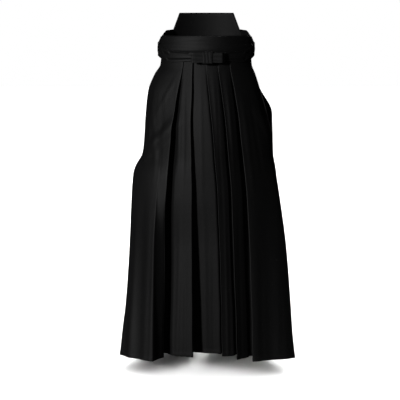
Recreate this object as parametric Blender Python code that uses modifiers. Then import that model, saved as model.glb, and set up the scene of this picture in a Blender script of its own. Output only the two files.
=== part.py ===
"""Men's pleated hakama trousers, kept in the hollow form they have when worn.

The front faces -Y and the wearer's left is +X. The origin is the centre of the waist,
at the middle of the wrapped ties. Every cloth panel is a wall lofted through horizontal
sections. A section starts at the side, follows a smooth hull and turns back on itself at
each knife pleat.
"""
import functools
import math

import bpy
from mathutils import Vector

# Cloth and seams, in metres
CLOTH = 0.0012
TIE_CLOTH = 0.0022
SEAM_GAP = 0.0004

# Heights above the origin, in metres
BACK_TOP = 0.036
SLIT_FOOT = {"r": -0.345, "l": -0.270}
CROTCH = -0.460

# How finely the walls are divided: points in each kind of strip, and steps in each turn
TURN_STEPS = 3
CREASE_POINTS = 1
SIDE_POINTS = 5
RIDGE_POINTS = 3
STRIP_POINTS = 3
LOWER_POINTS = 1
SEAM_POINTS = 2
WIDE_TUCK_STEPS = 4
TUCK_STEPS = 2
GUSSET_STEPS = 7
OUTLINE_STEPS = 24
SHARP_ANGLE = math.radians(50)

# Distances and the angle over which slopes are taken
PROBE = 0.002
EDGE_PROBE = 0.0015
ANGLE_PROBE = 0.05
ROW_HEIGHTS = (
    0.046, 0.020, -0.008, -0.040, -0.068, -0.095, -0.130, -0.175, -0.210, -0.240,
    -0.270, -0.295, -0.320, -0.345, -0.380, -0.420, -0.460, -0.510, -0.570, -0.635,
    -0.700, -0.770, -0.845, -0.915,
)

# Hulls: the smooth surfaces that the outermost strips of the front and the back lie on.
# edge_r and edge_l are the distances of the wearer's right and left side edges from the
# centre. side_r, side_l and middle are depths, towards -Y on the front and towards +Y on
# the back. flat and arch shape the curve between them.
HULL_COLUMNS = ("z", "edge_r", "edge_l", "side_r", "side_l", "middle", "flat", "arch")
FRONT_HULL = (
    (0.046, 0.1325, 0.1300, 0.026, 0.026, 0.106, 2.0, 0.65),
    (-0.040, 0.1375, 0.1340, 0.028, 0.028, 0.112, 2.0, 0.66),
    (-0.068, 0.1545, 0.1445, 0.029, 0.030, 0.117, 2.0, 0.68),
    (-0.120, 0.1750, 0.1610, 0.030, 0.033, 0.130, 2.1, 0.72),
    (-0.190, 0.1830, 0.1815, 0.031, 0.036, 0.143, 2.2, 0.78),
    (-0.270, 0.1885, 0.1985, 0.031, 0.040, 0.152, 2.3, 0.84),
    (-0.310, 0.1945, 0.2005, 0.030, 0.043, 0.155, 2.3, 0.86),
    (-0.345, 0.2145, 0.2070, 0.030, 0.048, 0.157, 2.4, 0.88),
    (-0.370, 0.2220, 0.2100, 0.034, 0.054, 0.158, 2.5, 0.89),
    (-0.420, 0.2260, 0.2175, 0.042, 0.064, 0.160, 2.6, 0.90),
    (-0.580, 0.2330, 0.2390, 0.064, 0.090, 0.167, 2.9, 0.94),
    (-0.750, 0.2445, 0.2525, 0.086, 0.116, 0.175, 3.2, 0.97),
    (-0.840, 0.2555, 0.2585, 0.096, 0.128, 0.179, 3.3, 0.98),
    (-0.915, 0.2635, 0.2665, 0.105, 0.138, 0.183, 3.4, 1.00),
)
BACK_HULL = (
    (0.046, 0.1110, 0.1110, 0.068, 0.068, 0.1175, 2.0, 0.66),
    (-0.040, 0.1290, 0.1290, 0.054, 0.054, 0.1260, 2.0, 0.66),
    (-0.068, 0.1370, 0.1380, 0.050, 0.050, 0.131, 2.0, 0.66),
    (-0.120, 0.1530, 0.1640, 0.043, 0.038, 0.142, 2.1, 0.66),
    (-0.190, 0.1720, 0.1985, 0.026, 0.008, 0.152, 2.2, 0.66),
    (-0.270, 0.1875, 0.1985, -0.002, -0.040, 0.158, 2.3, 0.67),
    (-0.310, 0.1945, 0.2005, -0.018, -0.043, 0.160, 2.3, 0.68),
    (-0.345, 0.2145, 0.2070, -0.030, -0.048, 0.162, 2.4, 0.70),
    (-0.370, 0.2220, 0.2100, -0.034, -0.054, 0.163, 2.5, 0.71),
    (-0.420, 0.2260, 0.2175, -0.042, -0.064, 0.166, 2.5, 0.72),
    (-0.580, 0.2330, 0.2390, -0.064, -0.090, 0.175, 2.6, 0.76),
    (-0.750, 0.2445, 0.2525, -0.086, -0.116, 0.188, 2.7, 0.80),
    (-0.840, 0.2555, 0.2585, -0.096, -0.128, 0.196, 2.8, 0.82),
    (-0.915, 0.2635, 0.2665, -0.105, -0.138, 0.203, 2.8, 0.84),
)

# Soft folds that raise or sink the hulls. Each runs down from top to foot and fades at both
# ends, where a foot below the hem stands for a fold that runs off the cloth. The columns are
# the top's x and z, the foot's x and z, half the fold's spread, and its height, outwards.
FRONT_SOFT_FOLDS = (
    (-0.090, -0.200, -0.222, -0.345, 0.034, 0.0058),
    (-0.088, -0.150, -0.190, -0.290, 0.030, -0.0040),
    (-0.186, -0.400, -0.214, -1.150, 0.024, -0.0040),
    (-0.222, -0.470, -0.240, -1.200, 0.020, 0.0036),
    (0.138, -0.160, 0.210, -0.285, 0.022, 0.0045),
    (0.172, -0.330, 0.214, -1.500, 0.050, -0.0075),
)
BACK_SOFT_FOLDS = (
    (-0.070, -0.060, -0.112, -1.200, 0.026, 0.0060),
    (-0.104, -0.090, -0.160, -1.200, 0.026, -0.0055),
    (-0.128, -0.150, -0.206, -1.150, 0.024, 0.0065),
    (-0.198, -0.400, -0.236, -1.200, 0.022, -0.0040),
    (0.064, -0.080, 0.100, -1.200, 0.026, 0.0055),
    (0.098, -0.060, 0.148, -1.150, 0.026, -0.0060),
    (0.134, -0.120, 0.200, -1.200, 0.026, 0.0060),
    (0.205, -0.360, 0.232, -1.200, 0.020, -0.0038),
)
SOFT_FOLD_FADE = 0.7
SIDE_EDGE_FADE = 0.030

# Pleats at seven heights. x is the pressed edge's place across the garment, tip is how far
# that edge lies behind the hull, root how far the hidden fold does, and tuck how far the
# hidden fold runs back under the strip above it. The next strip comes out from under the
# edge over a short steep bank, this wide, at whose foot it lies face behind the hull.
PLEAT_HEIGHTS = (0.046, -0.040, -0.120, -0.220, -0.420, -0.580, -0.915)
PLEATS = {
    "front_a": {
        "x": (-0.0620, -0.0700, -0.0857, -0.1025, -0.1225, -0.1365, -0.1390),
        "tip": (0.0, 0.0, 0.0, 0.0, 0.004, 0.026, 0.040),
        "root": (0.0036, 0.0036, 0.014, 0.024, 0.038, 0.068, 0.086),
        "tuck": (0.020, 0.022, 0.026, 0.028, 0.030, 0.030, 0.028),
        "bank": (0.004, 0.006, 0.010, 0.014, 0.016, 0.021, 0.027),
        "face": (0.0036, 0.0036, 0.009, 0.016, 0.028, 0.052, 0.066),
    },
    "front_b": {
        "x": (-0.0400, -0.0430, -0.0450, -0.0495, -0.0460, -0.0460, -0.0420),
        "tip": (0.0036, 0.0036, 0.006, 0.009, 0.020, 0.036, 0.050),
        "root": (0.0116, 0.0116, 0.018, 0.026, 0.047, 0.072, 0.100),
        "tuck": (0.022, 0.024, 0.026, 0.028, 0.028, 0.028, 0.028),
    },
    "front_c": {
        "x": (-0.0050, -0.0025, 0.0057, 0.0162, 0.0325, 0.0395, 0.0480),
        "tip": (0.0072, 0.0072, 0.008, 0.010, 0.022, 0.038, 0.060),
        "root": (0.0108, 0.0108, 0.018, 0.025, 0.044, 0.064, 0.094),
        "tuck": (0.020, 0.022, 0.024, 0.024, 0.024, 0.022, 0.020),
        "bank": (0.002, 0.002, 0.003, 0.003, 0.004, 0.004, 0.004),
        "face": (0.0108, 0.0108, 0.014, 0.019, 0.036, 0.056, 0.085),
    },
    "front_d": {
        "x": (0.0280, 0.0330, 0.0447, 0.0570, 0.0740, 0.0805, 0.0920),
        "tip": (0.0036, 0.0036, 0.004, 0.004, 0.008, 0.014, 0.024),
        "root": (0.0072, 0.0072, 0.015, 0.024, 0.042, 0.058, 0.080),
        "tuck": (0.020, 0.022, 0.024, 0.026, 0.026, 0.026, 0.026),
        "bank": (0.002, 0.002, 0.003, 0.004, 0.005, 0.006, 0.006),
        "face": (0.0072, 0.0072, 0.011, 0.017, 0.032, 0.048, 0.068),
    },
    "front_e": {
        "x": (0.0610, 0.0680, 0.0826, 0.0965, 0.1180, 0.1270, 0.1370),
        "tip": (0.0, 0.0, 0.0, 0.0, 0.0, 0.0, 0.0),
        "root": (0.0036, 0.0036, 0.013, 0.021, 0.036, 0.048, 0.062),
        "tuck": (0.020, 0.022, 0.024, 0.026, 0.028, 0.028, 0.028),
        "bank": (0.002, 0.003, 0.004, 0.005, 0.006, 0.007, 0.008),
        "face": (0.0036, 0.0036, 0.008, 0.012, 0.021, 0.034, 0.048),
    },
    "back_right": {
        "x": (-0.008, -0.009, -0.011, -0.013, -0.022, -0.028, -0.040),
        "tip": (0.0, 0.0, 0.0, 0.0, 0.0, 0.0, 0.0),
        "root": (0.0036, 0.0036, 0.007, 0.010, 0.022, 0.034, 0.050),
        "tuck": (0.040, 0.044, 0.048, 0.052, 0.056, 0.058, 0.060),
    },
    "back_left": {
        "x": (0.008, 0.009, 0.011, 0.013, 0.022, 0.028, 0.040),
        "tip": (0.0, 0.0, 0.0, 0.0, 0.0, 0.0, 0.0),
        "root": (0.0036, 0.0036, 0.007, 0.010, 0.022, 0.034, 0.050),
        "tuck": (0.040, 0.044, 0.048, 0.052, 0.056, 0.058, 0.060),
    },
}
FOLD_RADIUS = (0.0009, 0.0009, 0.0010, 0.0011, 0.0014, 0.0018, 0.0022)
WIDE_TUCK = 0.030

# The crease pressed along each side edge, and the knee's ridge on the right front
SIDE_CREASE = (0.018, 0.022, 0.022, 0.018, 0.012, 0.012, 0.012)
SIDE_CREASE_LIFT = (0.0, 0.0, 0.003, 0.004, 0.001, 0.0, 0.0)
KNEE_RIDGE_X = (-0.092, -0.096, -0.112, -0.126, -0.146, -0.1530, -0.1580)
KNEE_RIDGE_LIFT = (0.0, 0.0, 0.0, 0.0, 0.002, 0.008, 0.008)
KNEE_RIDGE_SHARES = (0.12, 0.35, 0.70)
KNEE_RIDGE_FALL = 0.5

# How many points the back's broad strips have, and how they crowd towards the side seam
BACK_STRIP_STEPS = 13
BACK_STRIP_CROWDING = 1.2

# How far the two legs part below the crotch, and how far the inner leg panels bow apart
FRONT_PARTING = (0.0, 0.0, 0.0, 0.0, 0.0, 0.008, 0.018)
BACK_PARTING = (0.0, 0.0, 0.0, 0.0, 0.0, 0.008, 0.022)
PARTING_DEPTH = 0.5
CROTCH_SPREAD = (0.0, 0.0, 0.0, 0.0, 0.0, 0.018, 0.050)

# Waist ties. Angles are in radians from the front, and a turn's run is its first angle, its
# last one and the steps between, finer where the front panels end.
TIE_GAP = 0.0007
TIE_WIDTH = 0.036
TIE_BASE = CLOTH / 2 + TIE_GAP + TIE_CLOTH / 2
TIE_STEP = TIE_CLOTH + TIE_GAP
TIE_EASE = 0.0075
TIE_REACH = 0.008
TIE_FALL = 0.008
TURN_RUNS = ((0.0, 1.0, 8), (1.08, 1.72, 8), (1.84, math.pi, 12))
UPPER_TURN_TOP = 0.045
LOWER_TURN_TOP = 0.0225
LOWER_TURN_LAP = 0.016
LOWER_TURN_BEND = 0.026
PANEL_EDGE_ANGLE = 1.37
PANEL_EDGE_SPREAD = 0.30
PANEL_EDGE_ROOM = 0.0014

# Back ties. Shares run from the knot, 0, to the back board, 1.
BACK_TIE_WIDTH = 0.038
KNOTTED_WIDTH = 0.024
BACK_TIE_ROWS = 5
BACK_TIE_STEPS = 28
BACK_TIE_START = math.radians(0.25)
BACK_TIE_KNOT_RISE = 0.0020
BACK_TIE_CLIMB = 0.056
BACK_TIE_CLIMB_RUN = (0.46, 1.06)
BACK_TIE_REAR_RUN = (0.62, 0.80)
GATHERED_RUN = (0.10, 0.66)
BACK_ROOM = 0.0112

# Back board
BOARD_FOOT_WIDTH = 0.222
BOARD_HEAD_WIDTH = 0.160
BOARD_HEIGHT = 0.086
BOARD_FOOT = 0.024
BOARD_THICKNESS = 0.0050
BOARD_LEAN = 0.008
BOARD_SEAM = 0.0021
BOARD_GAP = 0.0018
BOARD_CORNER_ANGLE = math.radians(112)
BOARD_EDGE = 0.0014
BOARD_COLUMNS = 14
BOARD_ROWS = 5
BACK_TIE_END_Z = 0.041

# Bow at the front
BOW_X = 0.002
BOW_Z = -0.017
BOW_WIDTH = 0.096
BOW_HEIGHT = 0.030
BOW_WRAP_WIDTH = 0.030
BOW_LAYERS = 4
BOW_LAYER_STEP = 0.002
BOW_COLUMNS = 6
BOW_ROWS = 4
BOW_PITCH = TIE_CLOTH + SEAM_GAP
BOW_ROOM = SEAM_GAP * 1.5
WRAP_CORNER = TIE_CLOTH / 2 + 0.0008

BLACK_CLOTH = (0.012, 0.012, 0.013, 1.0)


def clear_scene():
    """Removes every object of the startup scene."""
    for obj in list(bpy.data.objects):
        bpy.data.objects.remove(obj, do_unlink=True)


def cloth_material(name, roughness):
    """A Principled material in the garment's black."""
    material = bpy.data.materials.new(name)
    material.use_nodes = True
    shader = material.node_tree.nodes["Principled BSDF"]
    shader.inputs["Base Color"].default_value = BLACK_CLOTH
    shader.inputs["Roughness"].default_value = roughness
    shader.inputs["Metallic"].default_value = 0.0
    return material


def spaced(first, last, steps):
    """Evenly spaced values from first to last, or first alone where there are no steps."""
    if not steps:
        return [first]
    return [first + (last - first) * i / steps for i in range(steps + 1)]


def ease(t):
    """0 to 1 with a soft start and end."""
    t = min(max(t, 0.0), 1.0)
    return t * t * (3 - 2 * t)


def monotone(heights, values, z):
    """A smooth curve through a table's column that never overshoots its values.

    The heights run downwards, from the top of the garment to the hem.
    """
    if z >= heights[0]:
        return values[0]
    if z <= heights[-1]:
        return values[-1]
    steps = [heights[i] - heights[i + 1] for i in range(len(heights) - 1)]
    rises = [(values[i + 1] - values[i]) / steps[i] for i in range(len(steps))]
    slopes = [0.0]
    for before, after in zip(rises, rises[1:]):
        same_way = before * after > 0
        slopes.append(2 * before * after / (before + after) if same_way else 0.0)
    slopes[0] = rises[0]
    slopes.append(rises[-1])
    i = max(k for k in range(len(steps)) if heights[k] >= z)
    t = (heights[i] - z) / steps[i]
    start = (1 + 2 * t) * (1 - t) ** 2 * values[i] + t * t * (3 - 2 * t) * values[i + 1]
    bend = t * (1 - t) ** 2 * slopes[i] - t * t * (1 - t) * slopes[i + 1]
    return start + bend * steps[i]


def at_height(values, z):
    """A pleat table's row at one height."""
    return monotone(PLEAT_HEIGHTS, values, z)


class Hull:
    """One half of the garment's smooth outer surface, at any height.

    u runs from the half's side edge (negative) to the centre and past it. Depth grows
    inwards, so the outermost point of a section has the lowest depth.
    """

    def __init__(self, back, half):
        table = BACK_HULL if back else FRONT_HULL
        heights = [row[0] for row in table]
        self.columns = {
            name: (heights, [row[i] for row in table]) for i, name in enumerate(HULL_COLUMNS)
        }
        self.folds = BACK_SOFT_FOLDS if back else FRONT_SOFT_FOLDS
        self.half = half
        self.seam = Hull(False, half) if back else None

    def value(self, name, z):
        """A column at one height. Below the side slit, the back's side edge is the front's."""
        if self.seam and name[-2:] == "_" + self.half and z <= SLIT_FOOT[self.half]:
            sign = -1 if name.startswith("side") else 1
            return sign * self.seam.value(name, z)
        heights, values = self.columns[name]
        return monotone(heights, values, z)

    def edge(self, z):
        return -self.value("edge_" + self.half, z)

    def depth(self, u, z):
        share = min(abs(u) / self.value("edge_" + self.half, z), 1.0)
        arch = (1 - share ** self.value("flat", z)) ** self.value("arch", z)
        side = self.value("side_" + self.half, z)
        return -(side + (self.value("middle", z) - side) * arch)

    def lift(self, u, z):
        """How far the soft folds raise the hull. They die away towards the side edge."""
        x = -u if self.half == "l" else u
        raised = 0.0
        for top_x, top_z, foot_x, foot_z, width, lift in self.folds:
            t = (top_z - z) / (top_z - foot_z)
            if not 0.0 < t < 1.0:
                continue
            across = (x - top_x - (foot_x - top_x) * t) / width
            if abs(across) < 1.0:
                along = math.sin(math.pi * t) ** SOFT_FOLD_FADE
                raised += lift * along * math.cos(across * math.pi / 2) ** 2
        return raised * ease((u - self.edge(z)) / SIDE_EDGE_FADE)

    def frame(self, u, z):
        """Point on the raised hull, and the smooth hull's unit directions, along and inwards."""
        low = max(u - PROBE, self.edge(z))
        high = u + PROBE
        along = Vector((high - low, self.depth(high, z) - self.depth(low, z))).normalized()
        inward = Vector((-along.y, along.x))
        return Vector((u, self.depth(u, z))) - inward * self.lift(u, z), along, inward

    def point(self, u, z, setback=0.0):
        place, _, inward = self.frame(u, z)
        return place + inward * setback

    def corner(self, z):
        """The side edge, and the direction in which the panel leaves it."""
        edge = self.edge(z)
        place = Vector((edge, self.depth(edge, z)))
        ahead = Vector((edge + EDGE_PROBE, self.depth(edge + EDGE_PROBE, z)))
        return place, (ahead - place).normalized()

    def seam_edge(self, z):
        """Where the panel ends, so that the two ends at a side seam stay a seam's gap apart."""
        place, along = self.corner(z)
        if z > SLIT_FOOT[self.half] + 0.001:
            return place
        if self.seam:
            other = self.seam.corner(z)[1]
        else:
            other = Hull(True, self.half).corner(z)[1]
        half_angle = along.angle(Vector((other.x, -other.y))) / 2
        inset = (SEAM_GAP / 2 + CLOTH / 2 * math.cos(half_angle)) / math.sin(half_angle)
        return place + along * inset


def pleat_ends(pleat, z, mirrored):
    """(u, setback) where a strip meets the pleat's pressed edge, and where it leaves its root."""
    u_tip = at_height(pleat["x"], z) * (-1 if mirrored else 1)
    u_root = u_tip - at_height(pleat["tuck"], z)
    return (u_tip, at_height(pleat["tip"], z)), (u_root, at_height(pleat["root"], z))


def heading(start, end, radius):
    """Direction of the tangent from a circle of this radius round one point to the other point."""
    way = end - start
    return math.atan2(way.y, way.x) + math.asin(min(1.0, radius / way.length))


def fold(hull, pleat, z, mirrored, closed):
    """The turns of one knife pleat, from its pressed edge to its hidden root.

    Each turn is an arc, and the cloth between them lies under the strip above it. With
    closed False the path stops at the root, where the next panel is sewn on.
    """
    radius = at_height(FOLD_RADIUS, z)
    (u_tip, tip_depth), (u_root, root_depth) = pleat_ends(pleat, z, mirrored)
    tip, tip_along, tip_inward = hull.frame(u_tip, z)
    root, root_along, root_inward = hull.frame(u_root, z)
    first = tip + tip_inward * (tip_depth + radius) - tip_along * radius
    second = root + root_inward * (root_depth - radius) + root_along * radius
    under_tip, over_root = tip_depth + 2 * radius, root_depth - 2 * radius
    steps = WIDE_TUCK_STEPS if pleat["tuck"][0] > WIDE_TUCK else TUCK_STEPS
    hidden = []
    for share in spaced(0.0, 1.0, steps)[1:-1]:
        u = (u_tip - radius) * (1 - share) + (u_root + radius) * share
        hidden.append(hull.point(u, z, under_tip + (over_root - under_tip) * share))
    start, end = math.atan2(tip_along.y, tip_along.x), math.atan2(root_along.y, root_along.x)
    leave, arrive = heading(first, hidden[0], radius), heading(hidden[-1], second, radius)
    points = []
    for a in spaced(start, leave, TURN_STEPS):
        points.append(first + Vector((math.sin(a), -math.cos(a))) * radius)
    points += hidden
    for a in spaced(arrive, end, TURN_STEPS if closed else 0):
        points.append(second + Vector((-math.sin(a), math.cos(a))) * radius)
    return points


def strip(hull, z, start, end, count):
    """Points between two places on the hull, given as (u, setback), without its ends."""
    points = []
    for i in range(1, count + 1):
        t = i / (count + 1)
        u = start[0] + (end[0] - start[0]) * t
        setback = start[1] + (end[1] - start[1]) * t
        points.append(hull.point(u, z, setback))
    return points


def lower_strip(hull, z, pleat, mirrored, goal, count):
    """The strip that comes out from under a pleat, over a short steep bank, and on to its goal."""
    (edge, _), (_, depth) = pleat_ends(pleat, z, mirrored)
    foot = (edge + at_height(pleat["bank"], z), at_height(pleat["face"], z))
    points = [hull.point(edge, z, depth), hull.point(foot[0], z, foot[1])]
    return points + strip(hull, z, foot, goal, count)


def side_strip(hull, z, goal, ridge):
    """From the side edge over the pressed side crease, and over the knee's ridge if it has one."""
    edge = hull.edge(z)
    crease = edge + at_height(SIDE_CREASE, z)
    lift = -at_height(SIDE_CREASE_LIFT, z)
    points = [hull.seam_edge(z)]
    points += strip(hull, z, (edge, 0.0), (crease, lift), CREASE_POINTS)
    points.append(hull.point(crease, z, lift))
    if not ridge:
        return points + strip(hull, z, (crease, lift), goal, SIDE_POINTS)
    crest = (at_height(KNEE_RIDGE_X, z), -at_height(KNEE_RIDGE_LIFT, z))
    points += strip(hull, z, (crease, lift), crest, RIDGE_POINTS)
    points.append(hull.point(crest[0], z, crest[1]))
    for share in KNEE_RIDGE_SHARES:
        u = crest[0] + (goal[0] - crest[0]) * share
        setback = crest[1] + (goal[1] - crest[1]) * share ** KNEE_RIDGE_FALL
        points.append(hull.point(u, z, setback))
    return points


def front_right_section(z):
    """Right side seam to the centre seam hidden inside pleat b."""
    hull = Hull(False, "r")
    a_tip, _ = pleat_ends(PLEATS["front_a"], z, False)
    b_tip, _ = pleat_ends(PLEATS["front_b"], z, False)
    points = side_strip(hull, z, a_tip, True)
    points += fold(hull, PLEATS["front_a"], z, False, True)
    points += lower_strip(hull, z, PLEATS["front_a"], False, b_tip, LOWER_POINTS)
    points += fold(hull, PLEATS["front_b"], z, False, False)
    return points


def front_left_section(z):
    """Left side seam to the centre seam, with pleats e, d and c."""
    hull = Hull(False, "l")
    tips = {name: pleat_ends(PLEATS["front_" + name], z, True)[0] for name in "cde"}
    points = side_strip(hull, z, tips["e"], False)
    for name, following in (("e", "d"), ("d", "c")):
        pleat = PLEATS["front_" + name]
        points += fold(hull, pleat, z, True, True)
        points += lower_strip(hull, z, pleat, True, tips[following], LOWER_POINTS)
    points += fold(hull, PLEATS["front_c"], z, True, True)
    _, seam = pleat_ends(PLEATS["front_b"], z, False)
    parting = at_height(FRONT_PARTING, z)
    back_by = parting * PARTING_DEPTH
    goal = (-seam[0] - parting, seam[1] + back_by)
    points += lower_strip(hull, z, PLEATS["front_c"], True, goal, SEAM_POINTS)
    sewn_on = front_right_section(z)[-1]
    points.append(Vector((-sewn_on.x - parting, sewn_on.y + CLOTH + SEAM_GAP + back_by)))
    return points


def back_section(z, side):
    """Side seam to the centre back seam, with the one pleat that each half of the back has."""
    hull = Hull(True, side)
    mirrored = side == "l"
    pleat = PLEATS["back_left" if mirrored else "back_right"]
    tip, root = pleat_ends(pleat, z, mirrored)
    edge = hull.edge(z)
    points = [hull.seam_edge(z)]
    for share in spaced(0.0, 1.0, BACK_STRIP_STEPS)[1:-1]:
        u = edge + (tip[0] - edge) * share ** BACK_STRIP_CROWDING
        points.append(hull.point(u, z, tip[1] * share))
    points += fold(hull, pleat, z, mirrored, True)
    goal = (-SEAM_GAP / 2 - at_height(BACK_PARTING, z), root[1])
    points += strip(hull, z, root, goal, STRIP_POINTS)
    points.append(hull.point(goal[0], z, goal[1]))
    return points


def placed(points, z, flip_x, flip_y):
    """Section points in the garment's frame."""
    return [
        Vector((-p.x if flip_x else p.x, -p.y if flip_y else p.y, z)) for p in points
    ]


def front_right(z):
    return placed(front_right_section(z), z, False, False)


def front_left(z):
    return placed(front_left_section(z), z, True, False)


def back_right(z):
    return placed(back_section(z, "r"), z, False, True)


def back_left(z):
    return placed(back_section(z, "l"), z, True, True)


def gusset(z, front_panel, back_panel, side):
    """Inner leg panel from a front panel's inner edge to a back panel's, bowed to its own leg."""
    front_end = front_panel(z)[-1]
    back_end = back_panel(z)[-1]
    clear = CLOTH + SEAM_GAP
    start = front_end + Vector((0.0, clear, 0.0) if side > 0 else (-clear, 0.0, 0.0))
    end = back_end + Vector((side * (CLOTH / 2 + SEAM_GAP / 2), -clear, 0.0))
    spread = at_height(CROTCH_SPREAD, z) * side / 2
    return [
        start.lerp(end, share) + Vector((spread * math.sin(math.pi * share), 0.0, 0.0))
        for share in spaced(0.0, 1.0, GUSSET_STEPS)
    ]


def mesh_object(name, rows, material, closed=False):
    """An open sheet of quads through rows that all have the same number of points."""
    mesh = bpy.data.meshes.new(name)
    count = len(rows[0])
    faces = []
    for above in range(0, (len(rows) - 1) * count, count):
        below = above + count
        for c in range(count if closed else count - 1):
            after = (c + 1) % count
            faces.append((above + c, above + after, below + after, below + c))
    mesh.from_pydata([p for row in rows for p in row], [], faces)
    mesh.materials.append(material)
    obj = bpy.data.objects.new(name, mesh)
    return obj


def make_wall(obj, thickness, collection):
    """Gives a sheet its thickness on both sides of its middle surface."""
    collection.objects.link(obj)
    wall = obj.modifiers.new("wall", "SOLIDIFY")
    wall.thickness = thickness
    wall.offset = 0.0
    wall.use_rim = True
    obj.data.shade_smooth()
    obj.data.set_sharp_from_angle(angle=SHARP_ANGLE)
    return obj


def panel(name, section, heights, material, collection):
    """A cloth panel lofted through its sections."""
    return make_wall(
        mesh_object(name, [section(z) for z in heights], material), CLOTH, collection
    )


def convex_outline(points):
    """The taut line round a set of points, anticlockwise."""
    points = sorted({(round(p.x, 6), round(p.y, 6)) for p in points})

    def chain(run):
        line = []
        for p in run:
            while len(line) > 1:
                (ax, ay), (bx, by) = line[-2], line[-1]
                if (bx - ax) * (p[1] - ay) - (by - ay) * (p[0] - ax) > 0:
                    break
                line.pop()
            line.append(p)
        return line[:-1]

    return chain(points) + chain(points[::-1])


@functools.lru_cache(maxsize=None)
def waist_outline(z):
    """The line a taut tie takes at one height, over the front panels and inside the back ones."""
    points = []
    for side, mirror in (("r", 1), ("l", -1)):
        front = Hull(False, side)
        back = Hull(True, side)
        for share in spaced(0.0, 1.0, OUTLINE_STEPS):
            u = front.edge(z) * math.sin(share * math.pi / 2)
            p = front.point(u, z)
            points.append(Vector((p.x * mirror, p.y)))
            u = back.edge(z) * math.sin(share * math.pi / 2)
            p = back.point(u, z, BACK_ROOM)
            points.append(Vector((p.x * mirror, -p.y)))
    return convex_outline(points)


def on_outline(angle, z):
    """Where a line from the centre meets the outline. Angles grow from the front to the left."""
    dx, dy = math.sin(angle), -math.cos(angle)
    outline = waist_outline(round(z, 5))
    for (ax, ay), (bx, by) in zip(outline, outline[1:] + outline[:1]):
        ex, ey = bx - ax, by - ay
        turn = dx * ey - dy * ex
        if abs(turn) < 1e-12:
            continue
        reach = (ax * ey - ay * ex) / turn
        share = (ax * dy - ay * dx) / turn
        if reach > 0 and -1e-9 <= share <= 1 + 1e-9:
            return Vector((dx * reach, dy * reach))
    return None


def waist_point(angle, z, offset):
    """A place this far outside the outline."""
    ahead, behind = on_outline(angle + ANGLE_PROBE, z), on_outline(angle - ANGLE_PROBE, z)
    along = (ahead - behind).normalized()
    flat = on_outline(angle, z) + Vector((along.y, -along.x)) * offset
    return Vector((flat.x, flat.y, z))


def tie_rows(angles, profile):
    """Rows of a tie laid round the waist, where profile(angle) gives (offset, z) down its width."""
    columns = [[waist_point(a, z, offset) for offset, z in profile(a)] for a in angles]
    return [list(row) for row in zip(*columns)]


def tie_base(angle):
    """How far out the innermost tie lies. It stands off a little at the panels' side edges."""
    off_side = (abs(angle) - PANEL_EDGE_ANGLE) / PANEL_EDGE_SPREAD
    return TIE_BASE + PANEL_EDGE_ROOM * max(0.0, 1 - off_side * off_side)


def upper_turn(angle):
    """The front tie's first turn, highest on the waist."""
    top = UPPER_TURN_TOP - TIE_FALL * ease(abs(angle) / math.pi)
    base = tie_base(angle)
    return (base, top), (base, top - TIE_WIDTH / 2), (base, top - TIE_WIDTH)


def lower_turn(angle):
    """The second turn, whose upper edge lies over the first."""
    top = LOWER_TURN_TOP - TIE_FALL * ease(abs(angle) / math.pi)
    base = tie_base(angle)
    over = base + TIE_STEP
    return (
        (over, top),
        (over, top - LOWER_TURN_LAP),
        (base, top - LOWER_TURN_BEND),
        (base, top - TIE_WIDTH),
    )


def over_turns(angle, z):
    """The least offset at which the back tie clears whatever lies under it."""
    least = tie_base(angle)
    for turn in (upper_turn, lower_turn):
        stations = turn(angle)
        if stations[-1][1] - TIE_EASE <= z <= stations[0][1] + TIE_EASE:
            near = [offset for offset, at in stations if abs(at - z) < TIE_REACH]
            least = max(near, default=stations[1][0]) + TIE_STEP
    return least


def over_run(run, share):
    """0 to 1 as a share goes through a run."""
    return ease((share - run[0]) / (run[1] - run[0]))


def back_tie(angle):
    """Drops from the back board's lower corner to the knot, and is gathered there."""
    share = abs(angle) / BOARD_CORNER_ANGLE
    climb = BACK_TIE_CLIMB * over_run(BACK_TIE_CLIMB_RUN, share)
    gathered = 1 - over_run(GATHERED_RUN, share)
    width = BACK_TIE_WIDTH + (KNOTTED_WIDTH - BACK_TIE_WIDTH) * gathered
    top = BOW_Z + BACK_TIE_KNOT_RISE + climb + width / 2
    behind = over_run(BACK_TIE_REAR_RUN, share)
    over_back = BACK_ROOM + CLOTH / 2 + SEAM_GAP * 2 + TIE_CLOTH / 2
    stations = []
    for across in spaced(0.0, 1.0, BACK_TIE_ROWS):
        z = top - width * across
        under = over_turns(angle, z)
        stations.append((under + (max(over_back, under) - under) * behind, z))
    return stations


def back_tie_end(side):
    """The tie's sewn end, a seam's gap off the back board's slanted side."""
    column = []
    for across in spaced(0.0, 1.0, BACK_TIE_ROWS):
        z = BACK_TIE_END_Z + BACK_TIE_WIDTH * (0.5 - across)
        share = max((z - BOARD_FOOT) / BOARD_HEIGHT, 0.0)
        edge, inner = board_point(-0.5, share), board_point(-0.46, share)
        p = edge + (edge - inner).normalized() * BOARD_SEAM
        column.append(Vector((-p.x * side, p.y, z)))
    return column


def build_ties(material, collection):
    """The front ties' two turns round the waist, and the back ties brought to the knot."""
    half_turn = [angle for run in TURN_RUNS for angle in spaced(*run)]
    whole_turn = [-a for a in half_turn[:0:-1]] + half_turn[:-1]
    turns = {"front_tie_upper_turn": upper_turn, "front_tie_lower_turn": lower_turn}
    for name, profile in turns.items():
        rows = tie_rows(whole_turn, profile)
        make_wall(mesh_object(name, rows, material, closed=True), TIE_CLOTH, collection)
    for name, side in (("back_tie_right", -1), ("back_tie_left", 1)):
        run = spaced(BACK_TIE_START, BOARD_CORNER_ANGLE, BACK_TIE_STEPS)
        rows = tie_rows([side * angle for angle in run], back_tie)
        for row, last in zip(rows, back_tie_end(side)):
            row.append(last)
        if side > 0:
            rows = rows[::-1]
        make_wall(mesh_object(name, rows, material), TIE_CLOTH, collection)


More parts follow.
